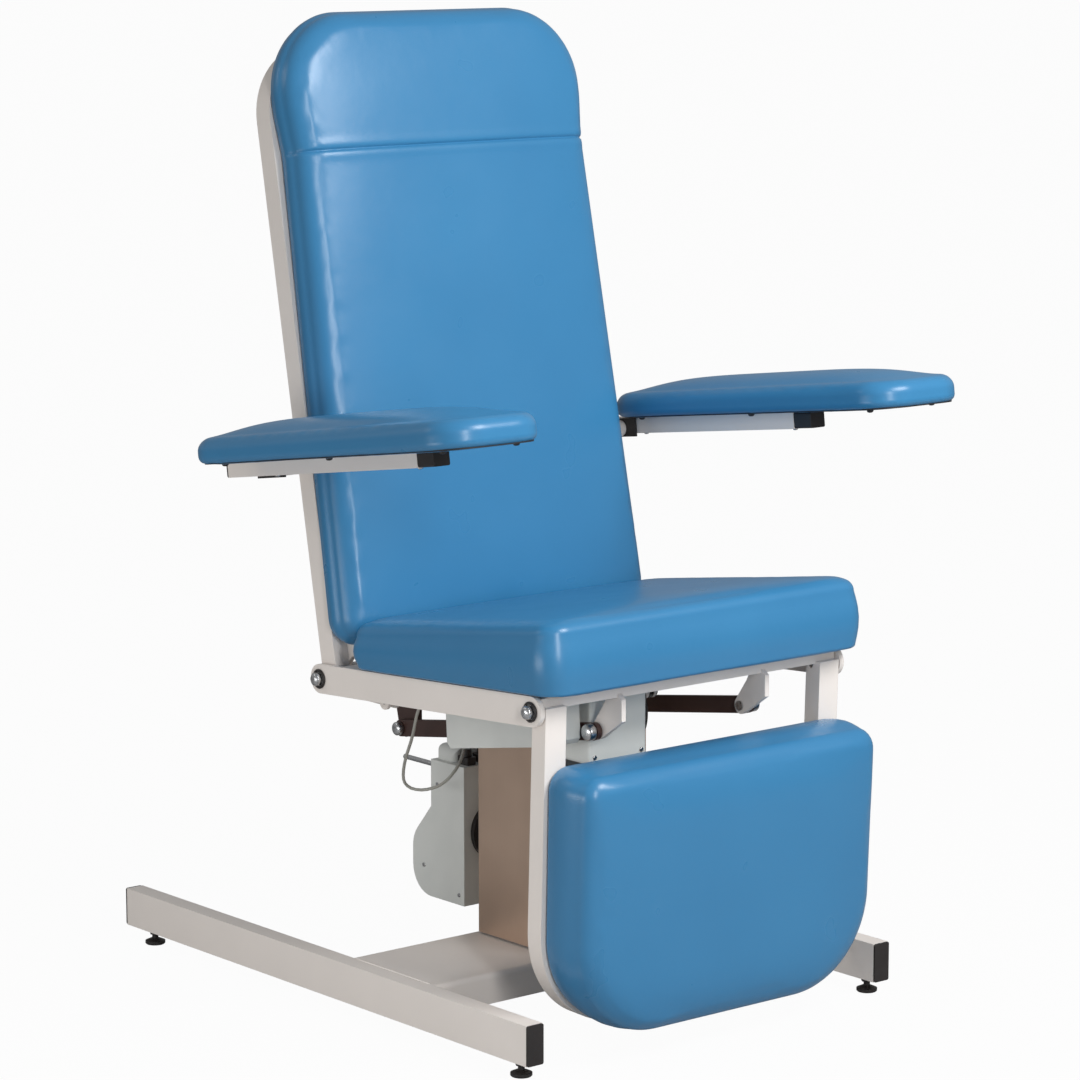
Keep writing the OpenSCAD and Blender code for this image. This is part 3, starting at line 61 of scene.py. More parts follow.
camera.location = (-3.7931, -4.6742, 1.6854)
camera.rotation_euler = (math.radians(90 - 9.488), 0.0, math.radians(-39.708))
bpy.context.scene.collection.objects.link(camera)
bpy.context.scene.camera = camera
bpy.context.scene.view_settings.view_transform = "Standard"


# ---- Studio floor and light ----
# A white floor runs out into a white room. One soft box hangs over the chair's front, a tall strip beside the
# viewpoint draws the long highlights, and two weak ones lift the chair's right side and its rear edges.
def hex_linear(code):
    """Turns an sRGB hex colour into linear light, channel by channel, with the sRGB curve."""
    values = np.array([int(code[i:i + 2], 16) for i in (1, 3, 5)]) / 255
    linear = np.where(values <= 0.04045, values / 12.92, ((values + 0.055) / 1.055) ** 2.4)
    return (*linear.tolist(), 1.0)


def add(tree, kind, settings=None, **inputs):
    """Adds a node, sets its properties, and sets or links its inputs. An underscore in an input's name
    stands for a space, and one before a number picks the input by its place."""
    node = tree.nodes.new(kind)
    for name, value in (settings or {}).items():
        setattr(node, name, value)
    for name, value in inputs.items():
        key = name.replace("_", " ")
        socket = node.inputs[key] if key in node.inputs else node.inputs[int(name[1:])]
        if isinstance(value, bpy.types.NodeSocket):
            tree.links.new(value, socket)
        else:
            socket.default_value = value
    return node


def new_finish(name):
    """Starts a material with an empty node tree and returns both."""
    material = bpy.data.materials.new(name)
    material.use_nodes = True
    material.node_tree.nodes.clear()
    return material, material.node_tree


# What the camera sees of the room is pure white, but only part of that lights the chair. The floor, too, shows
# the camera mostly a white glow, so that its edge doesn't tell and the chair's shadow stays faint.
white, room_light, floor_glow, floor_reach = hex_linear("#ffffff"), 0.32, 0.965, 70.0
world = bpy.data.worlds.new("white room")
world.use_nodes = True
world.node_tree.nodes.clear()
surround = add(world.node_tree, "ShaderNodeBackground", Color=white, Strength=room_light)
seen = add(world.node_tree, "ShaderNodeBackground", Color=white, Strength=1.0)
path = add(world.node_tree, "ShaderNodeLightPath")
reach = add(world.node_tree, "ShaderNodeMath", {"operation": "MAXIMUM"}, _0=path.outputs["Is Camera Ray"],
            _1=path.outputs["Is Transmission Ray"])
pick = add(world.node_tree, "ShaderNodeMixShader", Fac=reach.outputs[0], _1=surround.outputs[0],
           _2=seen.outputs[0])
add(world.node_tree, "ShaderNodeOutputWorld", Surface=pick.outputs[0])
bpy.context.scene.world = world

paper, tree = new_finish("white studio paper")
diffuse = add(tree, "ShaderNodeBsdfDiffuse", Color=hex_linear("#b4b4b4"))
glow = add(tree, "ShaderNodeEmission", Color=white, Strength=1.0)
path = add(tree, "ShaderNodeLightPath")
share = add(tree, "ShaderNodeMath", {"operation": "MULTIPLY"}, _0=path.outputs["Is Camera Ray"], _1=floor_glow)
blend_in = add(tree, "ShaderNodeMixShader", Fac=share.outputs[0], _1=diffuse.outputs[0], _2=glow.outputs[0])
add(tree, "ShaderNodeOutputMaterial", Surface=blend_in.outputs[0])
across = np.linspace(-floor_reach, floor_reach, 3)
gx, gy = np.meshgrid(across, across)
floor_mesh = bpy.data.meshes.new("floor sweep")
floor_mesh.from_pydata(np.stack([gx, gy, gx * 0], -1).reshape(-1, 3).tolist(), [],
                       [(0, 1, 4, 3), (1, 2, 5, 4), (3, 4, 7, 6), (4, 5, 8, 7)])
floor_mesh.materials.append(paper)
floor = bpy.data.objects.new("floor_sweep", floor_mesh)
bpy.context.scene.collection.objects.link(floor)


def soft_box(name, place, aim, wide, tall, watts):
    """A rectangular area lamp at a place, turned so that its face looks at the aim point."""
    lamp = bpy.data.lights.new(name, "AREA")
    lamp.shape = "RECTANGLE"
    lamp.size = wide
    lamp.size_y = tall
    lamp.energy = watts
    lamp_object = bpy.data.objects.new(name, lamp)
    lamp_object.location = place
    way = np.array(aim) - np.array(place)
    lamp_object.rotation_euler = (math.atan2(math.hypot(way[0], way[1]), -way[2]), 0.0,
                                  math.atan2(way[1], way[0]) - math.pi / 2)
    bpy.context.scene.collection.objects.link(lamp_object)


soft_box("key over the front", (0.45, -2.3, 2.6), (0, 0, 0.9), wide=1.5, tall=1.1, watts=72)
soft_box("strip beside the viewpoint", (-1.7, -3.7, 1.8), (0, 0, 0.8), wide=0.3, tall=1.8, watts=50)
soft_box("low lift from the right", (-2.1, 0.1, 0.40), (0, 0, 0.25), wide=1.2, tall=0.4, watts=7.5)
soft_box("edge light from the rear", (-2.6, 2.2, 2.5), (0, 0, 0.9), wide=1.0, tall=1.0, watts=5)


# ---- Frame paint ----
# Runners, cross beam, column head, seat plates, tube loops and arm rails: welded steel, powder coated in a
# warm light grey. The coat leaves a fine orange peel, rounds every edge and is rubbed a little paler there.
def on_piece(tree):
    """Gives the piece's own coordinates in metres, so a pattern stays on the piece when it moves."""
    return add(tree, "ShaderNodeTexCoord").outputs["Object"]


def noise(tree, place, scale, detail):
    """Adds a soft noise of scale cells to the metre and gives its value."""
    return add(tree, "ShaderNodeTexNoise", Vector=place, Scale=scale, Detail=detail).outputs["Fac"]


def two_tone(tree, share, low, high):
    """Mixes two colours: low at a share of 0, high at 1. Sockets 6 and 7 of the node are its colours."""
    return add(tree, "ShaderNodeMix", {"data_type": "RGBA"}, _0=share, _6=low, _7=high).outputs[2]


def spread(tree, value, low, high):
    """Stretches a value that runs from 0 to 1 so that it runs from low to high."""
    return add(tree, "ShaderNodeMapRange", Value=value, _3=low, _4=high).outputs[0]


def rounded(tree, radius):
    """Gives the normal that every edge would have if it were rounded by a radius."""
    return add(tree, "ShaderNodeBevel", {"samples": 4}, Radius=radius).outputs[0]


def bumped(tree, height, strength, depth, **under):
    """Tilts the normal by a height whose full depth is in metres, on top of the Normal under it if given."""
    return add(tree, "ShaderNodeBump", Height=height, Strength=strength, Distance=depth, **under).outputs[0]


def close_finish(tree, **inputs):
    """Ends a material in one principled surface with these inputs."""
    surface = add(tree, "ShaderNodeBsdfPrincipled", **inputs)
    add(tree, "ShaderNodeOutputMaterial", Surface=surface.outputs[0])


def powder_coat(name, code, worn, roughness):
    """Paint of one colour: orange peel of 1.6 mm, a drift of shade over 90 mm, and edges found by comparing
    the true normal with one rounded over 1.2 mm."""
    material, tree = new_finish(name)
    place, round_edge = on_piece(tree), rounded(tree, 0.0012)
    drift = noise(tree, place, 11.0, 3.0)
    shaded = tuple(0.94 * c for c in hex_linear(code)[:3]) + (1.0,)
    shade = two_tone(tree, drift, shaded, hex_linear(code))
    flat = add(tree, "ShaderNodeNewGeometry")
    turn = add(tree, "ShaderNodeVectorMath", {"operation": "DOT_PRODUCT"}, _0=round_edge,
               _1=flat.outputs["Normal"])
    edge = add(tree, "ShaderNodeMapRange", Value=turn.outputs["Value"], _1=0.99, _2=0.80, _3=0.0, _4=0.55)
    close_finish(tree, Base_Color=two_tone(tree, edge.outputs[0], shade, hex_linear(worn)), IOR=1.5,
                 Roughness=spread(tree, drift, roughness - 0.04, roughness + 0.06),
                 Normal=bumped(tree, noise(tree, place, 620.0, 2.0), 0.07, 0.0006, Normal=round_edge))
    return material


def dress(finish, *nodes):
    """Puts one finish on all of each named CAD node."""
    for node in nodes:
        mesh = frame["nodes"][node].data
        mesh.materials.clear()
        mesh.materials.append(finish)


frame_paint = powder_coat("powder coat warm grey", "#f1e9e2", "#f8f4f0", 0.40)
dress(frame_paint, "runner_left", "runner_right", "cross_beam", "column_head", "side_plate_left",
      "side_plate_right", "seat_frame", "back_frame", "leg_frame", "arm_spigots", "arm_rail_left",
      "arm_rail_right", "release_lever")


# Weld beads: fillet welds under the paint join the cross beam's top edges to the runners. Each bead is a thin
# tube laid in the corner, its ripples a few millimetres apart.
def carried(path, radius, count):
    """A tube along a path: each ring is the path's point plus radius times cos and sin on two axes square to
    the path, and both ends are closed. The radius may differ from ring to ring."""
    path = np.asarray(path, float)
    way = np.gradient(path, axis=0)
    way /= np.linalg.norm(way, axis=1, keepdims=True)
    near = np.where(np.abs(way[:, 2:]) < 0.9, np.array([[0, 0, 1.0]]), np.array([[1.0, 0, 0]]))
    side = np.cross(way, near)
    side /= np.linalg.norm(side, axis=1, keepdims=True)
    up = np.cross(side, way)
    turn = np.linspace(0, 2 * math.pi, count, endpoint=False)
    radius = np.broadcast_to(np.asarray(radius, float), (len(path),))[:, None, None]
    rings = path[:, None] + radius * (np.cos(turn)[None, :, None] * side[:, None]
                                      + np.sin(turn)[None, :, None] * up[:, None])
    return close_rings(rings)


def close_rings(rings):
    """Joins rings of points into a closed skin of quads, with a fan at each end's middle."""
    rows, count = rings.shape[:2]
    points = np.vstack([rings.reshape(-1, 3), rings[0].mean(0), rings[-1].mean(0)])
    spin = np.arange(count)
    low = np.arange(rows - 1)[:, None] * count
    quads = np.stack([low + spin, low + (spin + 1) % count, low + count + (spin + 1) % count,
                      low + count + spin], -1).reshape(-1, 4)
    first = np.stack([(spin + 1) % count, spin, np.full(count, rows * count)], 1)
    last = (rows - 1) * count
    end = np.stack([last + spin, last + (spin + 1) % count, np.full(count, rows * count + 1)], 1)
    return points, quads.tolist() + first.tolist() + end.tolist()


def make_piece(name, parts, finish, body):
    """Makes one object of a finish from a list of (points, faces), faces outward, smooth, riding on a body."""
    points, faces, start = [], [], 0
    for part_points, part_faces in parts:
        points.append(np.asarray(part_points, float))
        faces += [[i + start for i in face] for face in part_faces]
        start += len(part_points)
    mesh = bpy.data.meshes.new(name)
    mesh.from_pydata(np.vstack(points).tolist(), [], faces)
    work = bmesh.new()
    work.from_mesh(mesh)
    bmesh.ops.recalc_face_normals(work, faces=work.faces)
    work.to_mesh(mesh)
    work.free()
    mesh.materials.append(finish)
    mesh.polygons.foreach_set("use_smooth", [True] * len(mesh.polygons))
    piece = bpy.data.objects.new(name, mesh)
    bpy.context.scene.collection.objects.link(piece)
    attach(piece, body)
    return piece


def bead(start, end, radius, ring_gap=0.001, pitch=0.004, taper=0.003):
    """A weld from start to end: radius times 1 plus a tenth of a sine that repeats at the pitch, and thinner
    within the taper's length of both ends."""
    start, end = np.array(start, float), np.array(end, float)
    length = np.linalg.norm(end - start)
    steps = np.linspace(0, 1, max(8, round(length / ring_gap)))
    thin = np.minimum(1, np.minimum(steps, 1 - steps) * length / taper + 0.25)
    ripple = 1 + 0.1 * np.sin(steps * length / pitch * 2 * math.pi)
    return carried(start + (end - start) * steps[:, None], radius * thin * ripple, 8)


bead_radius, bead_short, bead_sunk = 0.0024, 0.012, 0.0012
(_, beam_front, _), (beam_end, beam_rear, beam_top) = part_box("cross_beam")
welds = [bead((s * (beam_end - bead_radius / 4), beam_front + bead_short, beam_top - bead_sunk),
              (s * (beam_end - bead_radius / 4), beam_rear - bead_short, beam_top - bead_sunk), bead_radius)
         for s in (1, -1)]
make_piece("beam_welds", welds, frame_paint, "base")


# ---- Moulded black plastic ----
# End caps, feet, glide pads, plugs, sliders and grips are injection moulded polyamide with a spark eroded
# grain, so they are near black, matt and finely stippled, with a duller bloom where hands and shoes rub.
def moulded_black(name, code, bloom, roughness):
    """Near black plastic: a grain of 0.9 mm cells, and a bloom in patches of 30 mm."""
    material, tree = new_finish(name)
    place = on_piece(tree)
    patch = noise(tree, place, 33.0, 3.0)
    grain = add(tree, "ShaderNodeTexVoronoi", Vector=place, Scale=1100.0).outputs["Distance"]
    close_finish(tree, Base_Color=two_tone(tree, patch, hex_linear(code), hex_linear(bloom)), IOR=1.5,
                 Roughness=spread(tree, patch, roughness - 0.06, roughness + 0.1),
                 Normal=bumped(tree, grain, 0.15, 0.0004, Normal=rounded(tree, 0.001)))
    return material


black_plastic = moulded_black("moulded polyamide black", "#1d1817", "#2b2726", 0.46)
dress(black_plastic, "runner_end_caps", "levelling_feet", "foot_nuts", "upper_glides", "lower_glides",
      "motor_flange", "motor_plugs", "cable_glands", "rail_plugs", "release_grip", "arm_slider_left",
      "arm_slider_right", "arm_fittings_left", "arm_fittings_right")


# ---- Brushed column ----
# The lifting column is stainless sheet folded to a box and brushed upright, so its faces streak along Z and
# spread reflections sideways. The inner post is drawn aluminium, anodised.
def brushed_metal(name, code, dark, roughness, fine):
    """Metal with upright hairlines: noise squeezed across the column and drawn out along its height, and a
    slow drift of tone over 120 mm."""
    material, tree = new_finish(name)
    place = on_piece(tree)
    drift = noise(tree, place, 8.0, 2.0)
    stretch = add(tree, "ShaderNodeMapping", Vector=place, Scale=(fine, fine, fine / 120))
    line = noise(tree, stretch.outputs[0], 1.0, 4.0)
    close_finish(tree, Base_Color=two_tone(tree, drift, hex_linear(dark), hex_linear(code)), Metallic=1.0,
                 Roughness=spread(tree, line, roughness - 0.1, roughness + 0.12),
                 Normal=bumped(tree, line, 0.14, 0.0003))
    return material


dress(brushed_metal("stainless sheet brushed upright", "#e6cbb6", "#c6ac99", 0.38, 700.0), "column_sleeve")
dress(brushed_metal("anodised aluminium drawn", "#c4c4c6", "#b4b4b6", 0.35, 500.0), "inner_post")


# ---- Bolts, pins and rods ----
# Turned or forged steel with bright zinc, slightly clouded where the plating dulls. The pivots end in domed
# cap nuts on washers at both ends of the side plate; each washer's rim is black, painted shadow for the dark
# groove round the nut.
def zinc_plate(name, code, dull, roughness):
    """Bright plating whose tone and gloss cloud over patches of 9 mm."""
    material, tree = new_finish(name)
    cloud = noise(tree, on_piece(tree), 110.0, 3.0)
    close_finish(tree, Base_Color=two_tone(tree, cloud, hex_linear(dull), hex_linear(code)), Metallic=1.0,
                 Roughness=spread(tree, cloud, roughness - 0.08, roughness + 0.14),
                 Normal=bumped(tree, cloud, 0.08, 0.0004))
    return material


bright_steel = zinc_plate("steel bright zinc", "#d2d3d4", "#b2b3b5", 0.24)
dress(bright_steel, "column_bolts", "piston", "piston_socket", "actuator_tube", "drive_neck", "tie_rod",
      "back_pivot_bolts", "leg_pivot_bolts", "back_link_pins", "leg_link_pins", "gas_rod", "seat_pins",
      "arm_pivot_bolts")


def square_to(axis):
    """Two unit vectors that are square to an axis and to each other."""
    near = np.array([0, 0, 1.0]) if abs(axis[2]) < 0.9 else np.array([1.0, 0, 0])
    side = np.cross(axis, near)
    side /= np.linalg.norm(side)
    return side, np.cross(axis, side)


def turned(profile, place, axis, count=20, flats=0, flat_depth=0.0):
    """A solid of revolution: each profile point (height, radius) becomes a ring about the axis. With flats,
    the radius is cut by flat_depth times the cosine of the turn times the number of flats."""
    profile = np.asarray(profile, float)
    axis = np.asarray(axis, float) / np.linalg.norm(axis)
    side, up = square_to(axis)
    turn = np.linspace(0, 2 * math.pi, count, endpoint=False)
    cut = 1 - flat_depth * (1 - np.cos(turn * flats)) / 2 if flats else np.ones(count)
    ring = (np.cos(turn) * cut)[:, None] * side + (np.sin(turn) * cut)[:, None] * up
    rings = np.asarray(place, float) + profile[:, 0, None, None] * axis + profile[:, 1, None, None] * ring
    return close_rings(rings)


def collar(profile, place, axis, count=40):
    """A closed ring: a looped profile of (height, radius) carried once round the axis."""
    profile = np.asarray(profile, float)
    axis = np.asarray(axis, float)
    side, up = square_to(axis)
    turn = np.linspace(0, 2 * math.pi, count, endpoint=False)
    ring = np.cos(turn)[:, None] * side + np.sin(turn)[:, None] * up
    points = (np.asarray(place, float) + profile[None, :, 0, None] * axis
              + profile[None, :, 1, None] * ring[:, None]).reshape(-1, 3)
    rows = len(profile)
    now, after = np.arange(count)[:, None] * rows, (np.arange(count)[:, None] + 1) % count * rows
    row = np.arange(rows)
    quads = [now + row, now + (row + 1) % rows, after + (row + 1) % rows, after + row]
    return points, np.stack(quads, -1).reshape(-1, 4).tolist()


def dome(radius, skirt, height, sink):
    """A cap's profile of (height, radius): a straight skirt that starts below its seat by the sink, then a
    quarter ellipse that stops 0.06 radians short of the pole."""
    arc = np.linspace(0, math.pi / 2 - 0.06, 9)
    rise = np.column_stack([skirt + (height - skirt) * np.sin(arc), radius * np.cos(arc)])
    return np.vstack([[[-sink, radius * 0.98], [0.0005, radius]], rise])


# The pivots' places come from the frame's joints, and the nuts sit on washers outside the side plates.
joint_at = {joint["name"]: joint["pos_m"] for joint in frame["joints"] if joint.get("pos_m")}
back_pivot, leg_pivot, back_pin = (joint_at[name] for name in ("recline", "legrest_swing", "left_link_pivot"))
plate_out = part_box("side_plate_left")[1][0]
washer, rim_gap = 0.002, 0.0003
rim = [(0.0, 0.0108), (0.0, 0.0146), (0.0018, 0.0152), (0.0032, 0.0140), (0.0036, 0.0124), (0.0026, 0.0110)]
cap_nut = dome(radius=0.0104, skirt=0.0066, height=0.0115, sink=0.001)
pivots = [(s, y, z) for s in (1, -1) for _, y, z in (back_pivot, leg_pivot)]
make_piece("pivot_cap_nuts", [turned(cap_nut, (s * (plate_out + washer), y, z), (s, 0, 0), count=36, flats=6,
                                     flat_depth=0.05) for s, y, z in pivots], bright_steel, "seat")
# The washer rims take the black plastic as painted shadow: the dark groove round each cap nut.
make_piece("pivot_washer_rims_painted_shadow", [collar(rim, (s * (plate_out + rim_gap), y, z), (s, 0, 0))
                                 for s, y, z in pivots], black_plastic, "seat")

# Domed heads close the pins that the link bars turn on, at the legrest's lugs and at the back's levers.
pin_out, leg_pin = 0.1565, (0, -0.38727, 0.46468)
for name, (_, y, z), head, body in (
        ("leg_pin_heads", leg_pin, dome(radius=0.0125, skirt=0.0070, height=0.0120, sink=0.0015), "legrest"),
        ("back_pin_heads", back_pin, dome(radius=0.0105, skirt=0.0050, height=0.0090, sink=0.0015), "backrest")):
    heads = [turned(head, (s * pin_out, y, z), (s, 0, 0), count=36) for s in (1, -1)]
    make_piece(name, heads, bright_steel, body)


# ---- Levers, links and gas spring ----
# Flat bar under a dark red brown enamel, and the gas spring's black enamelled cylinder.
link_paint = powder_coat("enamel dark brown", "#46302b", "#6a5048", 0.38)
dress(link_paint, "back_levers", "link_left", "link_right")
dress(powder_coat("enamel black gloss", "#141414", "#2c2c2c", 0.22), "gas_cylinder")


# ---- Gearmotor, control box and cable ----
# Moulded ABS shells in a cool light grey with a fine etched surface, and a soft PVC cable.
def etched_abs(name, code, dusty, roughness):
    """Light plastic: an etched grain of 1.2 mm, and shade that drifts towards a dusty tone over 70 mm."""
    material, tree = new_finish(name)
    place = on_piece(tree)
    drift, grain = noise(tree, place, 14.0, 3.0), noise(tree, place, 850.0, 2.0)
    close_finish(tree, Base_Color=two_tone(tree, drift, hex_linear(dusty), hex_linear(code)), IOR=1.53,
                 Roughness=spread(tree, drift, roughness + 0.06, roughness - 0.04),
                 Normal=bumped(tree, grain, 0.1, 0.0004, Normal=rounded(tree, 0.0018)))
    return material


housing = etched_abs("ABS cool light grey", "#eceeea", "#dde0dc", 0.42)
dress(housing, "motor_housing", "motor_cap", "control_box")
dress(etched_abs("PVC cable light grey", "#bdbcb4", "#a9a8a0", 0.38), "motor_cable")

# Shell screws: small recessed heads on both sides, where the housing's two halves meet.
shell_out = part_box("motor_housing")[1][0]
shell_screw = [(0, 0.0034), (0.0008, 0.0034), (0.0014, 0.0026), (0.0010, 0.0014)]
shell_screw_at = [(0.100, 0.286), (0.135, 0.150), (0.046, 0.118)]
make_piece("housing_screws", [turned(shell_screw, (s * shell_out, y, z), (s, 0, 0))
                              for s in (1, -1) for y, z in shell_screw_at], bright_steel, "seat")


# ---- Boards ----
# The cushions are stapled to plywood boards, seen only from behind and below: birch veneer, its grain
# running along the chair's height or length.
def plywood(name, light, dark):
    """Veneer: noise drawn out eight times along the grain, bands of 30 mm in two tones of one wood."""
    material, tree = new_finish(name)
    place = on_piece(tree)
    stretch = add(tree, "ShaderNodeMapping", Vector=place, Scale=(1.0, 0.3, 0.12))
    ring = add(tree, "ShaderNodeTexNoise", Vector=stretch.outputs[0], Scale=34.0, Distortion=0.6, Detail=4.0)
    fibre = add(tree, "ShaderNodeMapping", Vector=place, Scale=(700.0, 200.0, 12.0))
    hair = noise(tree, fibre.outputs[0], 1.0, 3.0)
    close_finish(tree, Base_Color=two_tone(tree, ring.outputs["Fac"], hex_linear(light), hex_linear(dark)),
                 Roughness=spread(tree, hair, 0.55, 0.7), Normal=bumped(tree, hair, 0.2, 0.0003), IOR=1.5)
    return material


dress(plywood("birch plywood", "#d9bf95", "#c3a275"), "seat_board", "back_board", "leg_board")
# The arm boards are coloured near black, so that their edges make the thin dark line under the pads.
dress(plywood("plywood near black", "#1d2029", "#15171d"), "arm_board_left", "arm_board_right")


# ---- Upholstery ----
# Every cushion is cut foam on a plywood board, wrapped in smooth blue coated vinyl that is pulled tight and
# stapled underneath, so the edges are round, the faces swell and the top has a crown.
def coated_vinyl(name, code, deep, roughness):
    """Vinyl: a pebble grain of 1.1 mm cells, a drift of shade over 200 mm, hand worn gloss in patches of
    80 mm, and the foam's slow unevenness of 26 mm under the skin."""
    material, tree = new_finish(name)
    place = on_piece(tree)
    drift, ease, worn = (noise(tree, place, scale, 2.0) for scale in (5.0, 38.0, 12.0))
    pebble = add(tree, "ShaderNodeTexVoronoi", {"feature": "SMOOTH_F1"}, Vector=place, Scale=900.0,
                 Smoothness=0.6)
    fine = bumped(tree, pebble.outputs["Distance"], 0.12, 0.0004)
    close_finish(tree, Base_Color=two_tone(tree, drift, hex_linear(deep), hex_linear(code)), IOR=1.5,
                 Roughness=spread(tree, worn, roughness - 0.05, roughness + 0.06),
                 Normal=bumped(tree, ease, 0.08, 0.003, Normal=fine))
    return material


vinyl = coated_vinyl("coated vinyl blue", "#3a80ae", "#3478a6", 0.29)


def outline(corners, radii, spacing):
    """A closed plan line round the corners, each turned by an arc of its radius, evenly spaced.
    An arc's centre lies on its corner's bisector at radius / sin(half the corner's angle)."""
    corners = np.array(corners, float)
    line = []
    for before, at, after, radius in zip(np.roll(corners, 1, 0), corners, np.roll(corners, -1, 0), radii):
        a, b = (before - at) / np.linalg.norm(before - at), (after - at) / np.linalg.norm(after - at)
        half = math.acos(np.clip(a @ b, -1, 1)) / 2
        centre = at + (a + b) / np.linalg.norm(a + b) * radius / math.sin(half)
        start, end = at + a * radius / math.tan(half) - centre, at + b * radius / math.tan(half) - centre
        turn = np.linspace(0, 1, 25)[:, None]
        arc = start * (1 - turn) + end * turn
        line.append(centre + arc / np.linalg.norm(arc, axis=1)[:, None] * radius)
    line = np.concatenate(line)
    closed = np.vstack([line, line[:1]])
    run = np.concatenate([[0], np.cumsum(np.linalg.norm(np.diff(closed, axis=0), axis=1))])
    steps = np.linspace(0, run[-1], max(48, int(run[-1] / spacing)), endpoint=False)
    return np.stack([np.interp(steps, run, closed[:, k]) for k in (0, 1)], 1)


def cushion_skin(plan, thickness, edge, low_edge, bulge, crown, power=4.0):
    """A closed skin from rings round the plan line. Up the side each ring is the plan moved outwards by the
    bulge times a half sine; over the base and the top each is the plan shrunk to its middle. The top rises
    by crown times 1 less a power of the width, 1 less twice that power of the length, and a fall at the rim."""
    middle = (plan.max(0) + plan.min(0)) / 2
    along = np.roll(plan, -1, 0) - np.roll(plan, 1, 0)
    inward = np.stack([-along[:, 1], along[:, 0]], 1) / np.linalg.norm(along, axis=1)[:, None]
    if np.sum(inward * (middle - plan)) < 0:
        inward = -inward
    rings = []
    for share in (0.02, 0.25, 0.5, 0.75, 0.92):
        shrunk = middle + (plan + inward * low_edge - middle) * share
        rings.append(np.column_stack([shrunk, np.zeros(len(plan))]))
    for a in np.linspace(0, math.pi / 2, 6):
        place = plan + inward * low_edge * (1 - math.sin(a))
        rings.append(np.column_stack([place, np.full(len(plan), low_edge * (1 - math.cos(a)))]))
    for share in (0.15, 0.3, 0.5, 0.7, 0.85):
        swollen = plan - inward * bulge * math.sin(math.pi * share)
        tall = thickness(plan) - edge - low_edge
        rings.append(np.column_stack([swollen, low_edge + share * tall]))
    for a in np.linspace(0, math.pi / 2, 12):
        place = plan + inward * edge * (1 - math.cos(a))
        rings.append(np.column_stack([place, thickness(place) - edge * (1 - math.sin(a))]))
    top = plan + inward * edge
    extent = np.ptp(top, axis=0) / 2
    for share in np.linspace(0.98, 0.02, 26):
        shrunk = middle + (top - middle) * share
        across, length = np.abs((shrunk - middle) / extent).T
        lift = (1 - across ** power) * (1 - length ** (2 * power)) * (1 - share ** 12)
        rings.append(np.column_stack([shrunk, thickness(shrunk) + crown * lift]))
    return close_rings(np.array(rings))


def lay(points, tilt, origin):
    """Turns points about X by a tilt in degrees and moves them to an origin."""
    c, s = math.cos(math.radians(tilt)), math.sin(math.radians(tilt))
    turn = np.array([[1, 0, 0], [0, c, -s], [0, s, c]])
    return points @ turn.T + np.array(origin)


def stand(points, tilt, origin):
    """Stands a cushion up: its length turns to Z and its thickness to -Y, then it leans by the tilt."""
    upright = np.column_stack([points[:, 0], -points[:, 2], points[:, 1]])
    return lay(upright, tilt, origin)


def read(items, name, width, kind=float):
    """Reads one property of all points or edges of a mesh into an array, one row each."""
    values = np.empty(len(items) * width, kind)
    items.foreach_get(name, values)
    return values.reshape(-1, width)


def swell(piece, voxel, most, pressure=4.0, frames=20, smoothings=24, nearest=12, at_once=400):
    """Blows a sewn cover up from inside. A copy is remeshed evenly and pressed as cloth for some frames, its
    move along the normal is averaged over neighbours and capped, and each point of the cover takes the mean
    of its nearest, weighted by 1 / (distance squared + a quarter voxel squared)."""
    sewn = bpy.data.objects.new("sewn cover", piece.data.copy())
    bpy.context.scene.collection.objects.link(sewn)
    bpy.context.view_layer.objects.active = sewn
    sewn.select_set(True)
    evener = sewn.modifiers.new("even", "REMESH")
    evener.mode = "VOXEL"
    evener.voxel_size = voxel
    bpy.ops.object.modifier_apply(modifier=evener.name)
    start, normal = read(sewn.data.vertices, "co", 3), read(sewn.data.vertices, "normal", 3)
    one, two = read(sewn.data.edges, "vertices", 2, int).T
    cloth = sewn.modifiers.new("cover", "CLOTH")
    cloth.settings.quality = 4
    cloth.settings.mass = 0.35
    cloth.settings.tension_stiffness = 40
    cloth.settings.compression_stiffness = 40
    cloth.settings.shear_stiffness = 20
    cloth.settings.bending_stiffness = 2.0
    cloth.settings.use_pressure = True
    cloth.settings.uniform_pressure_force = pressure
    cloth.settings.effector_weights.gravity = 0.0
    cloth.collision_settings.use_collision = False
    cloth.collision_settings.use_self_collision = False
    cloth.point_cache.frame_start = 1
    cloth.point_cache.frame_end = frames
    for step in range(1, frames + 1):
        bpy.context.scene.frame_set(step)
    posed = sewn.evaluated_get(bpy.context.evaluated_depsgraph_get())
    move = np.sum((read(posed.data.vertices, "co", 3) - start) * normal, axis=1)
    sewn.modifiers.remove(cloth)
    bpy.context.scene.frame_set(1)
    bpy.data.objects.remove(sewn)
    count = len(start)
    near = np.bincount(one, minlength=count) + np.bincount(two, minlength=count)
    for turn in range(smoothings):
        total = np.bincount(one, move[two], count) + np.bincount(two, move[one], count)
        move = 0.5 * move + 0.5 * total / np.maximum(near, 1)
    move = np.clip(move, -0.25 * most, most)
    points, outward = read(piece.data.vertices, "co", 3), read(piece.data.vertices, "normal", 3)
    gain = np.empty(len(points))
    for first in range(0, len(points), at_once):
        block = points[first:first + at_once]
        far = (block ** 2).sum(1)[:, None] + (start ** 2).sum(1)[None] - 2 * block @ start.T
        close = np.argpartition(far, nearest, axis=1)[:, :nearest]
        weight = 1 / (np.take_along_axis(far, close, 1) + 0.25 * voxel ** 2)
        gain[first:first + at_once] = (weight * move[close]).sum(1) / weight.sum(1)
    piece.data.vertices.foreach_set("co", (points + outward * gain[:, None]).ravel())
    piece.data.update()


def upholster(node):
    """Hides the CAD node that a cover stands in for."""
    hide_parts(node)


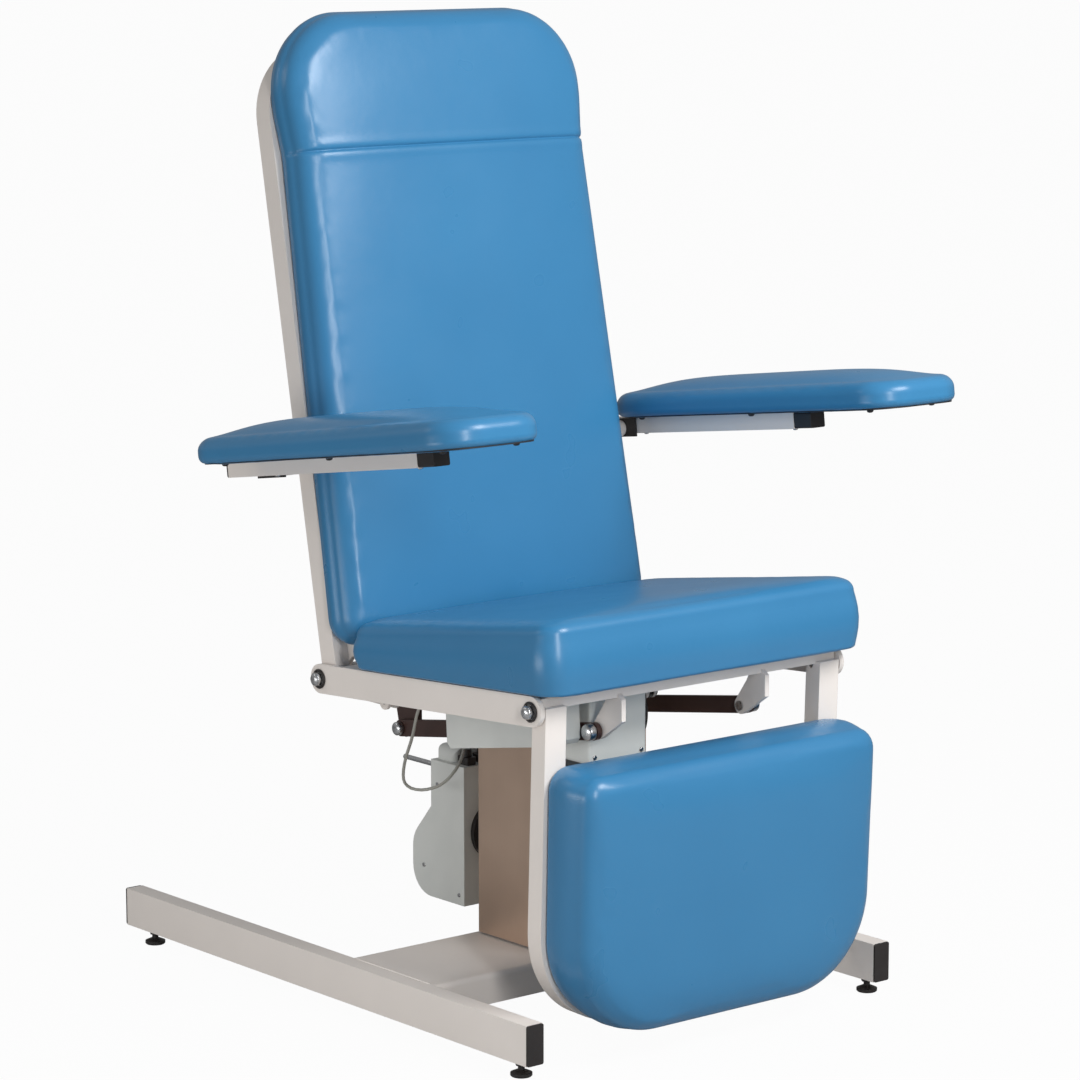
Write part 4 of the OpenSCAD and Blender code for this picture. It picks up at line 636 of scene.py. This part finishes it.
# Seat cushion: 613 by 475 mm, a wedge 69 mm thick at the back pivot and 108 mm at the knees, on its board.
seat_tilt, seat_frame_at, seat_board_top, tightness = -3.48, back_pivot, 0.0236, 0.95
half, rear, front, rear_thick, front_thick = 0.3065, -0.0925, -0.5675, 0.069, 0.108
plan = outline([(-half, front), (half, front), (half, rear), (-half, rear)], [0.036, 0.036, 0.026, 0.026], 0.006)
points, faces = cushion_skin(
    plan, lambda p: rear_thick + (front_thick - rear_thick) * (rear - p[:, 1]) / (rear - front),
    edge=0.020, low_edge=0.007, bulge=0.0065, crown=0.006)
points[:, 2] += seat_board_top
seat_pad = make_piece("seat_cushion_cover", [(lay(points, seat_tilt, seat_frame_at), faces)], vinyl, "seat")
swell(seat_pad, voxel=0.009, most=0.004)
upholster("seat_cushion")

# Back cushion: 955 mm tall, 594 mm wide at the hips, drawn in at the headrest seam and fuller above it.
back_tilt, back_board_front, back_thick = -10.65, 0.0327, 0.066
low, seam, wide_again, high = 0.0475, 0.791, 0.858, 1.002
hip_half, seam_half, head_half = 0.297, 0.279, 0.286
low_turn, seam_turn, head_turn = 0.040, 0.15, 0.124
plan = outline([(-hip_half, low), (hip_half, low), (seam_half, seam), (head_half, wide_again), (head_half, high),
                (-head_half, high), (-head_half, wide_again), (-seam_half, seam)],
               [low_turn, low_turn, seam_turn, seam_turn, head_turn, head_turn, seam_turn, seam_turn], 0.007)
points, faces = cushion_skin(plan, lambda p: np.full(len(p), back_thick), edge=0.030, low_edge=0.008,
                             bulge=0.004, crown=0.009)
points[:, 2] += back_board_front
back_pad = make_piece("back_cushion_cover", [(stand(points, back_tilt, seat_frame_at), faces)], vinyl,
                      "backrest")
swell(back_pad, voxel=0.010, most=0.004)
upholster("back_cushion")


def crease(piece, tilt, origin, at, depth, half_width, front_from=0.034, front_over=0.03):
    """Presses a sewn seam into a standing cushion. The skin is first cut across at rows close to the seam.
    Then its front is pushed in by depth times exp(-(height from the seam / half_width)^2), with a low swell on
    either side. The push starts front_from before the pivots' plane and is full after front_over more."""
    c, s = math.cos(math.radians(tilt)), math.sin(math.radians(tilt))
    up, base = np.array([0, -s, c]), np.array(origin)
    work = bmesh.new()
    work.from_mesh(piece.data)
    for row in (-9, -6, -4, -3, -2, -1.3, -0.6, 0, 0.6, 1.3, 2, 3, 4, 6, 9):
        bmesh.ops.bisect_plane(work, geom=work.verts[:] + work.edges[:] + work.faces[:], dist=1e-7,
                               plane_co=base + up * (at + row * half_width), plane_no=up)
    work.to_mesh(piece.data)
    work.free()
    points = read(piece.data.vertices, "co", 3)
    local = lay(points - base, -tilt, (0, 0, 0))
    off = local[:, 2] - at
    front = np.clip((-local[:, 1] - front_from) / front_over, 0, 1)
    bell = np.exp(-(off / half_width) ** 2)
    swell_up = np.exp(-((np.abs(off) - 4.5 * half_width) / (2.6 * half_width)) ** 2)
    local[:, 1] += front * (depth * bell - 0.25 * depth * swell_up)
    local[:, 0] *= 1 - 0.002 * bell * front
    piece.data.vertices.foreach_set("co", lay(local, tilt, origin).ravel())
    piece.data.polygons.foreach_set("use_smooth", [True] * len(piece.data.polygons))
    piece.data.update()


crease(back_pad, back_tilt, seat_frame_at, seam, depth=0.0034, half_width=0.0021)

# Legrest cushion: 570 mm wide, 396 mm long and 98 mm thick at its rim, its lower corners turned by 146 mm.
leg_tilt, leg_frame_at, leg_board_front, leg_thick = 1.9, leg_pivot, 0.0226, 0.098
half, low_half, low, high = 0.285, 0.282, -0.4745, -0.0785
plan = outline([(-low_half, low), (low_half, low), (half, high), (-half, high)], [0.146, 0.146, 0.034, 0.034],
               0.007)
points, faces = cushion_skin(plan, lambda p: np.full(len(p), leg_thick), edge=0.025, low_edge=0.008,
                             bulge=0.005, crown=0.007)
points[:, 2] += leg_board_front
leg_pad = make_piece("leg_cushion_cover", [(stand(points, leg_tilt, leg_frame_at), faces)], vinyl, "legrest")
swell(leg_pad, voxel=0.009, most=0.004)
upholster("leg_cushion")


# Hems and staples: the vinyl is turned over each board's rear and held by staples, inside the tube loop.
def hem(line, face, width, rise):
    """A flat band along a closed plan line: six loops of points, the line moved out and in by half the
    width, from the board's face up to a rise behind it."""
    along = np.roll(line, -1, 0) - np.roll(line, 1, 0)
    inward = np.stack([-along[:, 1], along[:, 0]], 1) / np.linalg.norm(along, axis=1)[:, None]
    loops = [(-0.5, 0.0), (-0.5, 0.6), (-0.42, 1.0), (0.42, 1.0), (0.5, 0.6), (0.5, 0.0)]
    points = np.concatenate([np.column_stack([line + inward * width * out, np.full(len(line), face - up * rise)])
                             for out, up in loops])
    count, rows = len(line), len(loops)
    spin = np.arange(count)
    faces = [np.stack([r * count + spin, r * count + (spin + 1) % count,
                       (r + 1) % rows * count + (spin + 1) % count, (r + 1) % rows * count + spin], 1)
             for r in range(rows)]
    return points, np.concatenate(faces).tolist()


def staples(line, face, spacing):
    """Wire staples along a closed plan line: each crown is 10 mm long and its ends turn into the board."""
    steps = max(1, round(spacing / np.linalg.norm(line[1] - line[0])))
    wire = np.array([[-0.0050, -0.0006], [-0.0048, 0.0004], [0, 0.0005], [0.0048, 0.0004], [0.0050, -0.0006]])
    starts, ways = line[::steps], (np.roll(line, -1, 0) - line)[::steps]
    ways = ways / np.linalg.norm(ways, axis=1, keepdims=True)
    return [carried(np.column_stack([at + wire[:, :1] * way, face - wire[:, 1]]), 0.0005, 6)
            for at, way in zip(starts, ways)]


hem_half, hem_wide, hem_rise, staple_gap = 0.245, 0.017, 0.0010, 0.04
for name, tilt, origin, (low, high), radii, face, body in (
        ("back", back_tilt, seat_frame_at, (0.075, 0.923), (0.03, 0.03, 0.08, 0.08), 0.0318, "backrest"),
        ("leg", leg_tilt, leg_frame_at, (-0.434, -0.112), (0.11, 0.11, 0.03, 0.03), 0.0217, "legrest")):
    line = outline([(-hem_half, low), (hem_half, low), (hem_half, high), (-hem_half, high)], radii, 0.008)
    points, faces = hem(line, face, hem_wide, hem_rise)
    make_piece(name + "_hem", [(stand(points, tilt, origin), faces)], vinyl, body)
    wires = staples(line, face - hem_rise, staple_gap)
    make_piece(name + "_staples", [(stand(p, tilt, origin), f) for p, f in wires], bright_steel, body)

# Arm pads: 654 by 183 mm, 36.5 mm thick at the rear and 40.5 mm at the front, crowned like a pillow. The
# vinyl is pulled round the edge of each board. The board is coloured near black, so that its edge makes the thin
# dark line under each pad and its underside shows black from below.
arm_tilts, arm_at = {1: ("left", 7.1), -1: ("right", 8.3)}, (0, *joint_at["left_arm_pivot"][1:])
inner, outer, front, rear = 0.318, 0.501, -0.644, 0.010
rear_thick, front_thick, pad_base = 0.0365, 0.0405, 0.0186
for side, (word, rise) in arm_tilts.items():
    plan = outline([(inner, front), (outer, front), (outer, rear), (inner, rear)],
                   [0.062, 0.062, 0.062, 0.058], 0.005)
    plan[:, 0] *= side
    points, faces = cushion_skin(
        plan, lambda p: rear_thick + (front_thick - rear_thick) * (rear - p[:, 1]) / (rear - front),
        edge=0.0185, low_edge=0.011, bulge=0.0, crown=0.0175, power=2.3)
    points[:, 2] += pad_base
    arm_pad = make_piece("arm_pad_cover_" + word, [(lay(points, -rise, arm_at), faces)], vinyl, word + "_pad")
    swell(arm_pad, voxel=0.006, most=0.002)
    upholster("arm_pad_" + word)

# Arm hardware: pan head screws hold the rail's slide stops from below, and black screw caps the pad's board.
pan_head = [(0.0, 0.0040), (0.0012, 0.0040), (0.0026, 0.0030), (0.0030, 0.0012)]
screw_cap = [(0.0, 0.0052), (0.0022, 0.0052), (0.0042, 0.0040), (0.0050, 0.0016)]
rail_middle, rail_under, rail_screws = 0.366, -0.0088, (-0.040, -0.392)
board_under, cap_columns, cap_rows = 0.0181, (0.342, 0.472), (-0.060, -0.320, -0.585)
down = (0, 0, -1)
for side, (word, rise) in arm_tilts.items():
    heads = [turned(pan_head, (side * rail_middle, y, rail_under), down) for y in rail_screws]
    make_piece("rail_screws_" + word, [(lay(p, -rise, arm_at), f) for p, f in heads], bright_steel,
               word + "_arm")
    caps = [turned(screw_cap, (side * x, y, board_under), down) for x in cap_columns for y in cap_rows]
    make_piece("board_caps_" + word, [(lay(p, -rise, arm_at), f) for p, f in caps], black_plastic,
               word + "_pad")


# ---- Connector cover ----
# A moulded cover hangs under the seat frame's front rail, beside the right link bar. It hides the plugs of the
# control box, and a short black lead goes round its edge up to the frame.
outer, inner, low, high, rear, deep = -0.138, -0.028, 0.406, 0.5155, -0.302, 0.060
plan = outline([(outer, low), (inner, low), (inner, high), (outer, high)], [0.006] * 4, 0.005)
points, faces = cushion_skin(plan, lambda p: np.full(len(p), deep), edge=0.004, low_edge=0.002, bulge=0.0,
                             crown=0.0)
make_piece("connector_cover", [(stand(points, 0.0, (0, rear, 0)), faces)], housing, "seat")
screw_in, screw_up = 0.010, 0.012
recessed_head = [(0.0, 0.0036), (0.0012, 0.0036), (0.0020, 0.0026), (0.0014, 0.0012)]
cover_heads = [turned(recessed_head, (x, rear - deep, low + screw_up), (0, -1, 0))
               for x in (outer + screw_in, inner - screw_in)]
make_piece("connector_cover_screws", cover_heads, bright_steel, "seat")

# The lead is a Bezier curve, the sum of C(4, k) (1 - t)^(4 - k) t^k times each of its five control points.
lead_radius = 0.0028
corners = np.array([(-0.030, -0.334, 0.4300), (-0.004, -0.336, 0.4260), (0.0, -0.338, 0.4600),
                    (-0.012, -0.338, 0.4920), (-0.014, -0.334, 0.5160)])
t = np.linspace(0, 1, 40)[:, None]
lead = sum(math.comb(4, k) * (1 - t) ** (4 - k) * t ** k * corners[k] for k in range(5))
make_piece("connector_lead", [carried(lead, lead_radius, 12)], black_plastic, "seat")
